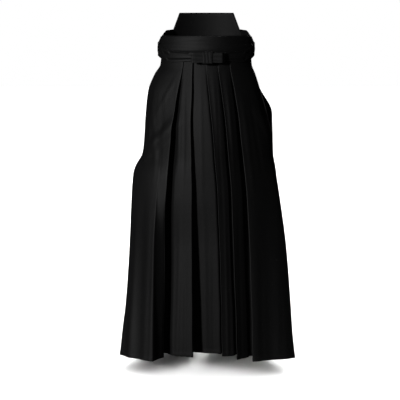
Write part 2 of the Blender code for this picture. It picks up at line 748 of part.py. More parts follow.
def bar_line(nearest):
    """The bar's zigzag, seen from above, from the layer nearest the waist outwards."""
    line = []
    for layer in range(BOW_LAYERS):
        way = 1 if layer % 2 == 0 else -1
        y = nearest - layer * BOW_PITCH
        half = (BOW_WIDTH - BOW_PITCH) / 2 - BOW_LAYER_STEP * layer
        line += [Vector((BOW_X + way * x, y)) for x in spaced(-half, half, BOW_COLUMNS)]
        if layer == BOW_LAYERS - 1:
            break
        for a in spaced(0.0, math.pi, 4)[1:-1]:
            reach = half + math.sin(a) * BOW_PITCH / 2
            line.append(Vector((BOW_X + way * reach, y - (1 - math.cos(a)) * BOW_PITCH / 2)))
    return line


def wrap_ring(behind, ahead, top, foot):
    """The turn's rounded rectangle round the bar, as (y, z) points."""
    ring = []
    for y, z, start in (
        (behind - WRAP_CORNER, top - WRAP_CORNER, 0.0),
        (ahead + WRAP_CORNER, top - WRAP_CORNER, 0.5),
        (ahead + WRAP_CORNER, foot + WRAP_CORNER, 1.0),
        (behind - WRAP_CORNER, foot + WRAP_CORNER, 1.5),
    ):
        for a in spaced(start * math.pi, (start + 0.5) * math.pi, 3):
            ring.append((y + WRAP_CORNER * math.cos(a), z + WRAP_CORNER * math.sin(a)))
    return ring


def build_bow(material, collection):
    """The back ties' ends, folded to a flat bar and held by one turn round its middle."""
    laid_on = min(
        waist_point(0.0, z, offset).y for offset, z in back_tie(BACK_TIE_START)
    )
    nearest = laid_on - TIE_CLOTH - BOW_ROOM - BOW_PITCH
    across_width = spaced(-0.5, 0.5, BOW_ROWS)
    rows = [
        [Vector((p.x, p.y, BOW_Z - share * BOW_HEIGHT)) for p in bar_line(nearest)]
        for share in across_width
    ]
    make_wall(mesh_object("bow_bar", rows, material), TIE_CLOTH, collection)

    reach = TIE_CLOTH + BOW_ROOM
    behind = nearest + reach
    ahead = nearest - (BOW_LAYERS - 1) * BOW_PITCH - reach
    rise = BOW_HEIGHT / 2 + BOW_ROOM + TIE_CLOTH / 2
    ring = wrap_ring(behind, ahead, BOW_Z + rise, BOW_Z - rise)
    rows = [
        [Vector((BOW_X + share * BOW_WRAP_WIDTH, y, z)) for y, z in ring]
        for share in across_width
    ]
    make_wall(mesh_object("bow_wrap", rows, material, closed=True), TIE_CLOTH, collection)


def board_point(across, share):
    """The middle of the board's thickness, where across is -0.5 at its right side, 0.5 at its left."""
    hull = Hull(True, "r")
    width = BOARD_FOOT_WIDTH + (BOARD_HEAD_WIDTH - BOARD_FOOT_WIDTH) * share
    u = width * across
    flat = hull.point(-abs(u), BOARD_FOOT, -(CLOTH / 2 + BOARD_GAP + BOARD_THICKNESS / 2))
    x = flat.x if u <= 0 else -flat.x
    return Vector((x, -flat.y - BOARD_LEAN * share, BOARD_FOOT + BOARD_HEIGHT * share))


def build_board(material, collection):
    """The stiff trapezoid board that stands at the small of the back."""
    rows = [
        [board_point(across, share) for across in spaced(-0.5, 0.5, BOARD_COLUMNS)]
        for share in spaced(0.0, 1.0, BOARD_ROWS)
    ]
    obj = make_wall(mesh_object("back_board", rows, material), BOARD_THICKNESS, collection)
    bevel = obj.modifiers.new("soft edge", "BEVEL")
    bevel.width = BOARD_EDGE
    bevel.segments = 2
    bevel.limit_method = "ANGLE"
    bevel.angle_limit = math.radians(60)


def main():
    clear_scene()
    collection = bpy.data.collections.new("hakama")
    bpy.context.scene.collection.children.link(collection)
    cloth = cloth_material("black cloth", 0.85)
    tie_cloth = cloth_material("black tie cloth", 0.80)
    board_cloth = cloth_material("black board cloth", 0.82)
    back_heights = [BACK_TOP] + [z for z in ROW_HEIGHTS if z < BACK_TOP]
    leg_heights = [z for z in ROW_HEIGHTS if z <= CROTCH]
    panel("front_right", front_right, ROW_HEIGHTS, cloth, collection)
    panel("front_left", front_left, ROW_HEIGHTS, cloth, collection)
    panel("back_right", back_right, back_heights, cloth, collection)
    panel("back_left", back_left, back_heights, cloth, collection)
    gussets = {
        "gusset_right": lambda z: gusset(z, front_right, back_right, -1),
        "gusset_left": lambda z: gusset(z, front_left, back_left, 1),
    }
    for name, section in gussets.items():
        panel(name, section, leg_heights, cloth, collection)
    build_ties(tie_cloth, collection)
    build_bow(tie_cloth, collection)
    build_board(board_cloth, collection)


main()
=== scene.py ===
"""Looks of a pair of men's black pleated hakama, kept in the form they have when worn.

The front faces -Y, the wearer's left is +X, and the origin is the centre of the waist. The
cloth panels are lofted through the same horizontal sections as the solids, far more finely,
with the soft creases, pressed edges, hems and stitches that the solids leave out.
"""
import functools
import math

import bpy
import numpy as np
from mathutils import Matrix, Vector, noise

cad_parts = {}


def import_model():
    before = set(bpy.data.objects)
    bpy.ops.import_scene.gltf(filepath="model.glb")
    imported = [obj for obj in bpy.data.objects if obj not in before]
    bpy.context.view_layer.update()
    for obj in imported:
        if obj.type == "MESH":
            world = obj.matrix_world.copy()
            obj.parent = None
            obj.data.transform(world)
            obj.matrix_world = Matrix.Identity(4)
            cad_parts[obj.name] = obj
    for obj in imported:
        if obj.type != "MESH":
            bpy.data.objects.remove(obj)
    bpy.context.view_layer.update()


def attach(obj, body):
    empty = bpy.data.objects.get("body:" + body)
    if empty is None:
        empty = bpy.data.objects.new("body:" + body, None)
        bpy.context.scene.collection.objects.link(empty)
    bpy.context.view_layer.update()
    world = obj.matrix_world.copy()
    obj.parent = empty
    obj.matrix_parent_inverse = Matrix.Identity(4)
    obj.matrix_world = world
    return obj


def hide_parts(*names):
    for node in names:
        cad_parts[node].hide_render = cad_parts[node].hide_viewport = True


# Cloth and seams, in metres
SOLID_CLOTH = 0.0012
CLOTH = 0.0009
TIE_SOLID = 0.0022
TIE_CLOTH = 0.0019
SEAM_GAP = 0.0004
SEAM_HALF_GAP = 0.00005

# Heights above the origin
FRONT_TOP = 0.046
BACK_TOP = 0.036
HEM = -0.915
FLOOR = -0.962
SLIT_FOOT = {"r": -0.345, "l": -0.270}
CROTCH = -0.460

# Rows down the cloth, its turned hems and its side slits' stitches
ROW_PITCH = 0.0075
HEM_ROWS = (-0.9000, -0.9018, -0.9030, -0.9042, -0.9060, -0.9090, -0.9120, -0.9140, -0.9150)
HEM_FOLD = 0.012
HEM_RAISE = 0.00042
HEM_DENT = 0.00030
SLIT_FOLD = 0.009
SLIT_FOLD_START = 0.006
SLIT_MARGIN = 0.001
SLIT_STITCH_FOOT = 0.004
SLIT_STITCH_TOP = -0.030
SLIT_STITCH_RISE = 0.0002

# How far the cloth is uneven and a pressed edge wanders, from which height, and growing over
# what height
UNEVENNESS, UNEVEN_FROM, UNEVEN_OVER = 0.0010, -0.03, 0.08
WANDER, WANDER_FROM, WANDER_OVER = 0.0012, -0.05, 0.15

# How far the lighter, glossier band of a pressed edge reaches, partly wear and partly a painted
# highlight, how far apart the points lie that give the hull's slope, and the angle between
# those that give the waist outline's
EDGE_WEAR_AND_HIGHLIGHT_REACH = 0.0035
SLOPE_STEP = 0.002
CORNER_STEP = 0.0015
OUTLINE_STEP = 0.05

HULL_COLUMNS = ("z", "edge_r", "edge_l", "side_r", "side_l", "middle", "flat", "arch")
FRONT_HULL = (
    (0.046, 0.1325, 0.1300, 0.026, 0.026, 0.106, 2.0, 0.65),
    (-0.040, 0.1375, 0.1340, 0.028, 0.028, 0.112, 2.0, 0.66),
    (-0.068, 0.1545, 0.1445, 0.029, 0.030, 0.117, 2.0, 0.68),
    (-0.120, 0.1750, 0.1610, 0.030, 0.033, 0.130, 2.1, 0.72),
    (-0.190, 0.1830, 0.1815, 0.031, 0.036, 0.143, 2.2, 0.78),
    (-0.270, 0.1885, 0.1985, 0.031, 0.040, 0.152, 2.3, 0.84),
    (-0.310, 0.1945, 0.2005, 0.030, 0.043, 0.155, 2.3, 0.86),
    (-0.345, 0.2145, 0.2070, 0.030, 0.048, 0.157, 2.4, 0.88),
    (-0.370, 0.2220, 0.2100, 0.034, 0.054, 0.158, 2.5, 0.89),
    (-0.420, 0.2260, 0.2175, 0.042, 0.064, 0.160, 2.6, 0.90),
    (-0.580, 0.2330, 0.2390, 0.064, 0.090, 0.167, 2.9, 0.94),
    (-0.750, 0.2445, 0.2525, 0.086, 0.116, 0.175, 3.2, 0.97),
    (-0.840, 0.2555, 0.2585, 0.096, 0.128, 0.179, 3.3, 0.98),
    (-0.915, 0.2635, 0.2665, 0.105, 0.138, 0.183, 3.4, 1.00),
)
BACK_HULL = (
    (0.046, 0.1110, 0.1110, 0.068, 0.068, 0.1175, 2.0, 0.66),
    (-0.040, 0.1290, 0.1290, 0.054, 0.054, 0.1260, 2.0, 0.66),
    (-0.068, 0.1370, 0.1380, 0.050, 0.050, 0.131, 2.0, 0.66),
    (-0.120, 0.1530, 0.1640, 0.043, 0.038, 0.142, 2.1, 0.66),
    (-0.190, 0.1720, 0.1985, 0.026, 0.008, 0.152, 2.2, 0.66),
    (-0.270, 0.1875, 0.1985, -0.002, -0.040, 0.158, 2.3, 0.67),
    (-0.310, 0.1945, 0.2005, -0.018, -0.043, 0.160, 2.3, 0.68),
    (-0.345, 0.2145, 0.2070, -0.030, -0.048, 0.162, 2.4, 0.70),
    (-0.370, 0.2220, 0.2100, -0.034, -0.054, 0.163, 2.5, 0.71),
    (-0.420, 0.2260, 0.2175, -0.042, -0.064, 0.166, 2.5, 0.72),
    (-0.580, 0.2330, 0.2390, -0.064, -0.090, 0.175, 2.6, 0.76),
    (-0.750, 0.2445, 0.2525, -0.086, -0.116, 0.188, 2.7, 0.80),
    (-0.840, 0.2555, 0.2585, -0.096, -0.128, 0.196, 2.8, 0.82),
    (-0.915, 0.2635, 0.2665, -0.105, -0.138, 0.203, 2.8, 0.84),
)

# Soft folds of the solids, then the finer creases that only the looks have. Each runs down
# from top to foot. The columns are the top's x and z, the foot's x and z, half the spread,
# and the height, outwards.
FRONT_SOFT_FOLDS = (
    (-0.090, -0.200, -0.222, -0.345, 0.034, 0.0058),
    (-0.088, -0.150, -0.190, -0.290, 0.030, -0.0040),
    (-0.186, -0.400, -0.214, -1.150, 0.024, -0.0040),
    (-0.222, -0.470, -0.240, -1.200, 0.020, 0.0036),
    (0.138, -0.160, 0.210, -0.285, 0.022, 0.0045),
    (0.172, -0.330, 0.214, -1.500, 0.050, -0.0075),
)
BACK_SOFT_FOLDS = (
    (-0.070, -0.060, -0.112, -1.200, 0.026, 0.0060),
    (-0.104, -0.090, -0.160, -1.200, 0.026, -0.0055),
    (-0.128, -0.150, -0.206, -1.150, 0.024, 0.0065),
    (-0.198, -0.400, -0.236, -1.200, 0.022, -0.0040),
    (0.064, -0.080, 0.100, -1.200, 0.026, 0.0055),
    (0.098, -0.060, 0.148, -1.150, 0.026, -0.0060),
    (0.134, -0.120, 0.200, -1.200, 0.026, 0.0060),
    (0.205, -0.360, 0.232, -1.200, 0.020, -0.0038),
)
SOFT_FOLD_FADE = 0.7
SIDE_EDGE_FADE = 0.030
FRONT_CREASES = (
    (-0.088, -0.070, -0.150, -0.190, 0.011, 0.0014),
    (-0.128, -0.110, -0.148, -0.420, 0.012, -0.0016),
    (-0.158, -0.150, -0.150, -0.360, 0.011, 0.0014),
    (-0.150, -0.470, -0.176, -1.150, 0.009, 0.0016),
    (-0.086, -0.060, -0.094, -0.380, 0.009, 0.0012),
    (-0.066, -0.060, -0.078, -0.520, 0.010, -0.0012),
    (-0.088, -0.480, -0.098, -1.100, 0.012, 0.0018),
    (-0.066, -0.560, -0.070, -1.150, 0.010, -0.0016),
    (-0.020, -0.070, -0.014, -0.480, 0.010, 0.0010),
    (-0.010, -0.420, 0.002, -1.150, 0.014, 0.0022),
    (0.020, -0.560, 0.024, -1.150, 0.010, -0.0016),
    (0.028, -0.080, 0.052, -0.520, 0.008, -0.0010),
    (0.056, -0.380, 0.072, -1.150, 0.008, 0.0014),
    (0.062, -0.070, 0.088, -0.420, 0.008, 0.0010),
    (0.096, -0.420, 0.112, -1.150, 0.009, -0.0014),
    (0.100, -0.110, 0.140, -0.420, 0.012, 0.0016),
    (0.122, -0.120, 0.168, -0.380, 0.010, -0.0014),
    (0.160, -0.560, 0.172, -1.150, 0.014, -0.0010),
    (0.222, -0.560, 0.236, -1.200, 0.014, -0.0008),
    (0.005, -0.050, 0.033, -0.330, 0.014, -0.0018),
    (0.041, -0.050, 0.075, -0.330, 0.014, -0.0026),
)
BACK_CREASES = (
    (-0.030, -0.080, -0.052, -0.700, 0.012, 0.0018),
    (-0.088, -0.100, -0.130, -0.520, 0.010, 0.0016),
    (-0.116, -0.320, -0.150, -1.150, 0.011, 0.0018),
    (-0.146, -0.170, -0.176, -0.460, 0.010, -0.0016),
    (-0.058, -0.420, -0.076, -1.150, 0.012, -0.0018),
    (-0.180, -0.420, -0.206, -1.150, 0.009, 0.0012),
    (0.036, -0.090, 0.060, -0.620, 0.012, 0.0016),
    (0.082, -0.110, 0.116, -0.470, 0.010, 0.0016),
    (0.112, -0.360, 0.136, -1.150, 0.011, 0.0018),
    (0.150, -0.150, 0.176, -0.440, 0.010, -0.0014),
    (0.070, -0.480, 0.082, -1.150, 0.012, -0.0018),
    (0.178, -0.400, 0.208, -1.150, 0.010, 0.0014),
)

PLEAT_HEIGHTS = (0.046, -0.040, -0.120, -0.220, -0.420, -0.580, -0.915)
PLEATS = {
    "front_a": {
        "x": (-0.0620, -0.0700, -0.0857, -0.1025, -0.1225, -0.1365, -0.1390),
        "tip": (0.0, 0.0, 0.0, 0.0, 0.004, 0.026, 0.040),
        "root": (0.0036, 0.0036, 0.014, 0.024, 0.038, 0.068, 0.086),
        "tuck": (0.020, 0.022, 0.026, 0.028, 0.030, 0.030, 0.028),
        "bank": (0.004, 0.006, 0.010, 0.014, 0.016, 0.021, 0.027),
        "face": (0.0036, 0.0036, 0.009, 0.016, 0.028, 0.052, 0.066),
    },
    "front_b": {
        "x": (-0.0400, -0.0430, -0.0450, -0.0495, -0.0460, -0.0460, -0.0420),
        "tip": (0.0036, 0.0036, 0.006, 0.009, 0.020, 0.036, 0.050),
        "root": (0.0116, 0.0116, 0.018, 0.026, 0.047, 0.072, 0.100),
        "tuck": (0.022, 0.024, 0.026, 0.028, 0.028, 0.028, 0.028),
    },
    "front_c": {
        "x": (-0.0050, -0.0025, 0.0057, 0.0162, 0.0325, 0.0395, 0.0480),
        "tip": (0.0072, 0.0072, 0.008, 0.010, 0.022, 0.038, 0.060),
        "root": (0.0108, 0.0108, 0.018, 0.025, 0.044, 0.064, 0.094),
        "tuck": (0.020, 0.022, 0.024, 0.024, 0.024, 0.022, 0.020),
        "bank": (0.002, 0.002, 0.003, 0.003, 0.004, 0.004, 0.004),
        "face": (0.0108, 0.0108, 0.014, 0.019, 0.036, 0.056, 0.085),
    },
    "front_d": {
        "x": (0.0280, 0.0330, 0.0447, 0.0570, 0.0740, 0.0805, 0.0920),
        "tip": (0.0036, 0.0036, 0.004, 0.004, 0.008, 0.014, 0.024),
        "root": (0.0072, 0.0072, 0.015, 0.024, 0.042, 0.058, 0.080),
        "tuck": (0.020, 0.022, 0.024, 0.026, 0.026, 0.026, 0.026),
        "bank": (0.002, 0.002, 0.003, 0.004, 0.005, 0.006, 0.006),
        "face": (0.0072, 0.0072, 0.011, 0.017, 0.032, 0.048, 0.068),
    },
    "front_e": {
        "x": (0.0610, 0.0680, 0.0826, 0.0965, 0.1180, 0.1270, 0.1370),
        "tip": (0.0, 0.0, 0.0, 0.0, 0.0, 0.0, 0.0),
        "root": (0.0036, 0.0036, 0.013, 0.021, 0.036, 0.048, 0.062),
        "tuck": (0.020, 0.022, 0.024, 0.026, 0.028, 0.028, 0.028),
        "bank": (0.002, 0.003, 0.004, 0.005, 0.006, 0.007, 0.008),
        "face": (0.0036, 0.0036, 0.008, 0.012, 0.021, 0.034, 0.048),
    },
    "back_right": {
        "x": (-0.008, -0.009, -0.011, -0.013, -0.022, -0.028, -0.040),
        "tip": (0.0, 0.0, 0.0, 0.0, 0.0, 0.0, 0.0),
        "root": (0.0036, 0.0036, 0.007, 0.010, 0.022, 0.034, 0.050),
        "tuck": (0.040, 0.044, 0.048, 0.052, 0.056, 0.058, 0.060),
    },
}
PLEATS["back_left"] = dict(PLEATS["back_right"], x=tuple(-x for x in PLEATS["back_right"]["x"]))
FOLD_RADIUS = (0.0009, 0.0009, 0.0010, 0.0011, 0.0014, 0.0018, 0.0022)
SIDE_CREASE = (0.018, 0.022, 0.022, 0.018, 0.012, 0.012, 0.012)
SIDE_CREASE_LIFT = (0.0, 0.0, 0.003, 0.004, 0.001, 0.0, 0.0)
KNEE_RIDGE_X = (-0.092, -0.096, -0.112, -0.126, -0.146, -0.1530, -0.1580)
KNEE_RIDGE_LIFT = (0.0, 0.0, 0.0, 0.0, 0.002, 0.008, 0.008)
KNEE_RIDGE_FALL = 0.5
KNEE_RIDGE_SHARES = (0.015, 0.04, 0.08, 0.13, 0.19, 0.26, 0.34, 0.43, 0.53, 0.64, 0.76, 0.88)
FRONT_PARTING = (0.0, 0.0, 0.0, 0.0, 0.0, 0.008, 0.018)
BACK_PARTING = (0.0, 0.0, 0.0, 0.0, 0.0, 0.008, 0.022)
PARTING_DEPTH = 0.5
CROTCH_SPREAD = (0.0, 0.0, 0.0, 0.0, 0.0, 0.018, 0.050)
GUSSET_RIPPLE = 0.0030

# Waist ties
TIE_GAP = 0.0007
TIE_WIDTH = 0.036
TIE_BASE = SOLID_CLOTH / 2 + TIE_GAP + TIE_SOLID / 2
TIE_STEP = TIE_SOLID + TIE_GAP
TIE_EASE = 0.0075
TIE_REACH = 0.008
TIE_FALL = 0.008
TIE_SOFT_EDGE = 0.0006
TIE_PULL, GATHERED_PULL, TIE_SLACK = 0.00022, 0.00075, 0.0005
UPPER_TURN_TOP = 0.045
LOWER_TURN_TOP = 0.0225
LOWER_TURN_LAP = 0.016
LOWER_TURN_BEND = 0.026
PANEL_EDGE_ANGLE = 1.37
PANEL_EDGE_SPREAD = 0.30
PANEL_EDGE_ROOM = 0.0014
BACK_TIE_WIDTH = 0.038
KNOTTED_WIDTH = 0.024
BACK_TIE_ROWS = 5
BACK_TIE_START = math.radians(0.25)
BACK_TIE_KNOT_RISE = 0.0020
BACK_TIE_CLIMB = 0.056
BACK_TIE_CLIMB_RUN = (0.46, 1.06)
BACK_TIE_REAR_RUN = (0.62, 0.80)
GATHERED_RUN = (0.10, 0.66)
GATHERED_SPREAD = 0.42
BACK_ROOM = 0.0112

# Back board
BOARD_FOOT_WIDTH = 0.222
BOARD_HEAD_WIDTH = 0.160
BOARD_HEIGHT = 0.086
BOARD_FOOT = 0.024
BOARD_THICKNESS = 0.0050
BOARD_LEAN = 0.008
BOARD_SEAM = 0.0021
BOARD_GAP = 0.0018
BOARD_HEM = 0.007
BOARD_HEM_RAISE = 1.2
BOARD_COVER = BOARD_THICKNESS - 0.0004
BOARD_SOFT_EDGE = 0.0016
BOARD_CORNER_ANGLE = math.radians(112)
BACK_TIE_END_Z = 0.041

# Bow
BOW_X = 0.002
BOW_Z = -0.017
BOW_WIDTH = 0.096
BOW_HEIGHT = 0.030
BOW_WRAP_WIDTH = 0.030
BOW_LAYERS = 4
BOW_LAYER_STEP = 0.002
BOW_PITCH = TIE_SOLID + SEAM_GAP
BOW_ROOM = SEAM_GAP * 1.5
BOW_PINCH = 0.10
BAR_PINCH_SPREAD = 0.024
BAR_CREASE = 0.00025
WRAP_CORNER = TIE_SOLID / 2 + 0.0008
WRAP_STEP = 0.0025
WRAP_PINCH_SPREAD = 0.010
WRAP_CREASE = 0.00030

# Centre back seam: how wide and how long each allowance is, how far it stops from the panel's
# ends, its room behind the cloth, and how near it comes to the seam
ALLOWANCE = 0.009
ALLOWANCE_END = 0.003
ALLOWANCE_ROOM = 0.0002
ALLOWANCE_FOLD = 0.0003

# Stitches: their size, the shortest and the longest as shares of their length, and their
# height as a share of their gauge
STITCH = {"Pitch": 0.0060, "Length": 0.0030, "Gauge": 0.0005}
STITCH_SHORTEST = 0.82
STITCH_LONGEST = 1.08
STITCH_FLAT = 0.7

# Each cloth: its finish's name, its dark and light colours, its roughness, the pitch of its
# threads, and whether it has pressed edges, lighter by wear and by a painted highlight
CLOTHS = {
    "pleated_cloth": (
        "black hakama cloth", (0.0030, 0.0030, 0.0033, 1), (0.0090, 0.0089, 0.0091, 1),
        0.60, 0.0011, True,
    ),
    "tie_cloth": (
        "black tie cloth", (0.0034, 0.0034, 0.0037, 1), (0.0100, 0.0099, 0.0101, 1),
        0.58, 0.0013, False,
    ),
    "board_cloth": (
        "black board cloth", (0.0032, 0.0032, 0.0035, 1), (0.0095, 0.0094, 0.0096, 1),
        0.60, 0.0011, False,
    ),
}

# Each lamp: its place, the point it is aimed at, its size, and its power in watts
LAMPS = {
    "key light": ((-2.85, -4.3, 1.0), (-0.12, 0.0, -0.55), (0.45, 0.6), 6.0),
    "fill light": ((0.6, -5.2, 2.0), (0.0, 0.0, -0.4), (2.0, 2.0), 3.5),
    "back light": ((0.9, 5.0, 2.0), (0.0, 0.0, -0.4), (1.4, 1.4), 130.0),
    "floor light": ((0.0, 0.0, 9.0), (0.0, 0.0, 0.0), (40.0, 40.0), 13000.0),
}

# How wide the key light's grid lets it shine, how strongly the white surroundings light the
# cloth, and how far the floor reaches
KEY_SPREAD = math.radians(40)
WORLD_LIGHT = 0.008
FLOOR_REACH = 12.0

# The camera: its place, how many degrees it looks down, and its lens, from the focal length
# and the width of the photo in pixels
CAMERA_PLACE = (-0.02, -3.7, 0.15)
CAMERA_TILT = 9.3
SENSOR = 36.0
FOCAL_PIXELS = 1224
PHOTO_PIXELS = 400


def spaced(first, last, steps):
    """Evenly spaced values from first to last, or first alone where there are no steps."""
    if not steps:
        return [first]
    return [first + (last - first) * i / steps for i in range(steps + 1)]


def ease(t):
    """0 to 1 with a soft start and end."""
    t = min(max(t, 0.0), 1.0)
    return t * t * (3 - 2 * t)


def monotone(heights, values, z):
    """A smooth curve through a table's column that never overshoots its values."""
    if z >= heights[0]:
        return values[0]
    if z <= heights[-1]:
        return values[-1]
    steps = [heights[i] - heights[i + 1] for i in range(len(heights) - 1)]
    rises = [(values[i + 1] - values[i]) / steps[i] for i in range(len(steps))]
    slopes = [rises[0]]
    for before, after in zip(rises, rises[1:]):
        same_way = before * after > 0
        slopes.append(2 * before * after / (before + after) if same_way else 0.0)
    slopes.append(rises[-1])
    i = max(k for k in range(len(steps)) if heights[k] >= z)
    t = (heights[i] - z) / steps[i]
    start = (1 + 2 * t) * (1 - t) ** 2 * values[i] + t * t * (3 - 2 * t) * values[i + 1]
    bend = t * (1 - t) ** 2 * slopes[i] - t * t * (1 - t) * slopes[i + 1]
    return start + bend * steps[i]


@functools.lru_cache(maxsize=None)
def at_height(values, z):
    """A pleat table's row at one height."""
    return monotone(PLEAT_HEIGHTS, values, z)


def waver(place, z, seed, reach):
    """A slow, even unevenness, never more than reach."""
    return reach * noise.noise(Vector((place * 9.0, z * 5.0, seed)))


class Hull:
    """One half of the garment's smooth outer surface, at any height.

    u runs from the half's side edge (negative) to the centre and past it. Depth grows
    inwards, so the outermost point of a section has the lowest depth.
    """

    def __init__(self, back, half):
        table = BACK_HULL if back else FRONT_HULL
        heights = [row[0] for row in table]
        self.columns = {
            name: (heights, [row[i] for row in table]) for i, name in enumerate(HULL_COLUMNS)
        }
        self.folds = BACK_SOFT_FOLDS if back else FRONT_SOFT_FOLDS
        self.creases = BACK_CREASES if back else FRONT_CREASES
        self.half = half
        self.seed = 3.0 if back else 1.0
        self.seam = Hull(False, half) if back else None
        self.known = {}

    def value(self, name, z):
        """A column at one height. Below the side slit, the back's side edge is the front's."""
        if (name, z) not in self.known:
            if self.seam and name[-2:] == "_" + self.half and z <= SLIT_FOOT[self.half]:
                sign = -1 if name.startswith("side") else 1
                self.known[name, z] = sign * self.seam.value(name, z)
            else:
                heights, values = self.columns[name]
                self.known[name, z] = monotone(heights, values, z)
        return self.known[name, z]

    def edge(self, z):
        return -self.value("edge_" + self.half, z)

    def depth(self, u, z):
        share = min(abs(u) / self.value("edge_" + self.half, z), 1.0)
        arch = (1 - share ** self.value("flat", z)) ** self.value("arch", z)
        side = self.value("side_" + self.half, z)
        return -(side + (self.value("middle", z) - side) * arch)

    def raised(self, folds, x, z):
        """The height that a table of folds adds at one place."""
        total = 0.0
        for top_x, top_z, foot_x, foot_z, width, lift in folds:
            t = (top_z - z) / (top_z - foot_z)
            if not 0.0 < t < 1.0:
                continue
            across = (x - top_x - (foot_x - top_x) * t) / width
            if abs(across) < 1.0:
                along = math.sin(math.pi * t) ** SOFT_FOLD_FADE
                total += lift * along * math.cos(across * math.pi / 2) ** 2
        return total

    def lift(self, u, z):
        """How far folds, creases and the cloth's unevenness raise the hull."""
        x = -u if self.half == "l" else u
        total = self.raised(self.folds, x, z) + self.raised(self.creases, x, z)
        total += waver(x, z, self.seed, UNEVENNESS) * ease((UNEVEN_FROM - z) / UNEVEN_OVER)
        return total * ease((u - self.edge(z)) / SIDE_EDGE_FADE)

    def frame(self, u, z):
        """Point on the raised hull, and the smooth hull's unit directions, along and inwards."""
        low = max(u - SLOPE_STEP, self.edge(z))
        high = u + SLOPE_STEP
        along = Vector((high - low, self.depth(high, z) - self.depth(low, z))).normalized()
        inward = Vector((-along.y, along.x))
        return Vector((u, self.depth(u, z))) - inward * self.lift(u, z), along, inward

    def point(self, u, z, setback=0.0):
        place, _, inward = self.frame(u, z)
        return place + inward * setback

    def corner(self, z):
        """The side edge, and the direction in which the panel leaves it."""
        edge = self.edge(z)
        place = Vector((edge, self.depth(edge, z)))
        ahead = Vector((edge + CORNER_STEP, self.depth(edge + CORNER_STEP, z)))
        return place, (ahead - place).normalized()

    def seam_edge(self, z):
        """Where the panel ends, so that the two ends at a side seam nearly touch."""
        place, along = self.corner(z)
        if z > SLIT_FOOT[self.half] + SLIT_MARGIN:
            return place
        other = self.seam.corner(z)[1] if self.seam else Hull(True, self.half).corner(z)[1]
        half_angle = along.angle(Vector((other.x, -other.y))) / 2
        inset = (SEAM_HALF_GAP + CLOTH / 2 * math.cos(half_angle)) / math.sin(half_angle)
        return place + along * inset

    def fold_over(self, u, z):
        """The narrow turned hem along an open side: a raised band with a stitched dent."""
        opened = ease((z - SLIT_FOOT[self.half]) / SLIT_FOLD_START)
        return -turned_hem((u - self.edge(z)) / SLIT_FOLD) * opened


def turned_hem(share):
    """How far a turned hem raises the cloth, from the edge, 0, to past its stitches, 1."""
    band = HEM_RAISE * ease(share / 0.12) * (1 - ease((share - 0.90) / 0.25))
    dent = HEM_DENT * math.exp(-((share - 0.98) / 0.09) ** 2)
    return band - dent


class Section:
    """Points of one panel at one height, with what each point is part of."""

    def __init__(self, hull, z):
        self.hull = hull
        self.z = z
        self.points = []
        self.shown = []
        self.pressed = []

    def add(self, points, shown=True, pressed=False):
        self.points += points
        self.shown += [shown] * len(points)
        self.pressed += [pressed] * len(points)

    def strip(self, start, end, count):
        """Points between two places on the hull, given as (u, setback), without its ends."""
        made = []
        for i in range(1, count + 1):
            t = i / (count + 1)
            u = start[0] + (end[0] - start[0]) * t
            setback = start[1] + (end[1] - start[1]) * t
            made.append(self.hull.point(u, self.z, setback))
        self.add(made)

    def lower_strip(self, pleat, mirrored, goal, count):
        """From under a pleat, over a short steep bank, and on to the goal."""
        (edge, _), (u_root, depth) = pleat_ends(pleat, self.z, mirrored)
        foot = (edge + at_height(pleat["bank"], self.z), at_height(pleat["face"], self.z))
        self.strip((u_root, depth), (edge, depth), 5)
        for share in spaced(0.0, 1.0, 8):
            u = edge + (foot[0] - edge) * share
            self.add([self.hull.point(u, self.z, depth + (foot[1] - depth) * soft_bank(share))])
        self.strip(foot, goal, count)

    def fold(self, pleat, mirrored, closed, hidden_steps=9):
        """One knife pleat's turns, from its pressed edge to its hidden root."""
        turn_steps = 6
        hull, z = self.hull, self.z
        radius = at_height(FOLD_RADIUS, z)
        (u_tip, tip_depth), (u_root, root_depth) = pleat_ends(pleat, z, mirrored)
        tip, tip_along, tip_inward = hull.frame(u_tip, z)
        root, root_along, root_inward = hull.frame(u_root, z)
        first = tip + tip_inward * (tip_depth + radius) - tip_along * radius
        second = root + root_inward * (root_depth - radius) + root_along * radius
        under_tip, over_root = tip_depth + 2 * radius, root_depth - 2 * radius
        hidden = []
        for share in spaced(0.0, 1.0, hidden_steps)[1:-1]:
            u = (u_tip - radius) * (1 - share) + (u_root + radius) * share
            hidden.append(hull.point(u, z, under_tip + (over_root - under_tip) * share))
        start = math.atan2(tip_along.y, tip_along.x)
        end = math.atan2(root_along.y, root_along.x)
        leave = heading(first, hidden[0], radius)
        arrive = heading(hidden[-1], second, radius)
        turn = [
            first + Vector((math.sin(a), -math.cos(a))) * radius
            for a in spaced(start, leave, turn_steps)
        ]
        self.add(turn[:1])
        self.add(turn[1:], shown=False, pressed=True)
        self.add(hidden, shown=False)
        turn = [
            second + Vector((-math.sin(a), math.cos(a))) * radius
            for a in spaced(arrive, end, turn_steps if closed else 0)
        ]
        self.add(turn, shown=False)


def soft_bank(share):
    """0 to 1 across a bank, straight in its middle and rounded at its two ends."""
    return 0.75 * share + 0.25 * ease(share)


def pleat_ends(pleat, z, mirrored):
    """(u, setback) where a strip meets the pleat's pressed edge, and where it leaves its root."""
    wander = waver(pleat["x"][0], z * 2.2, 7.0, WANDER) * ease((WANDER_FROM - z) / WANDER_OVER)
    u_tip = (at_height(pleat["x"], z) + wander) * (-1 if mirrored else 1)
    u_root = u_tip - at_height(pleat["tuck"], z)
    return (u_tip, at_height(pleat["tip"], z)), (u_root, at_height(pleat["root"], z))


def heading(start, end, radius):
    """Direction of the tangent from a circle of this radius round one point to the other point."""
    way = end - start
    return math.atan2(way.y, way.x) + math.asin(min(1.0, radius / way.length))


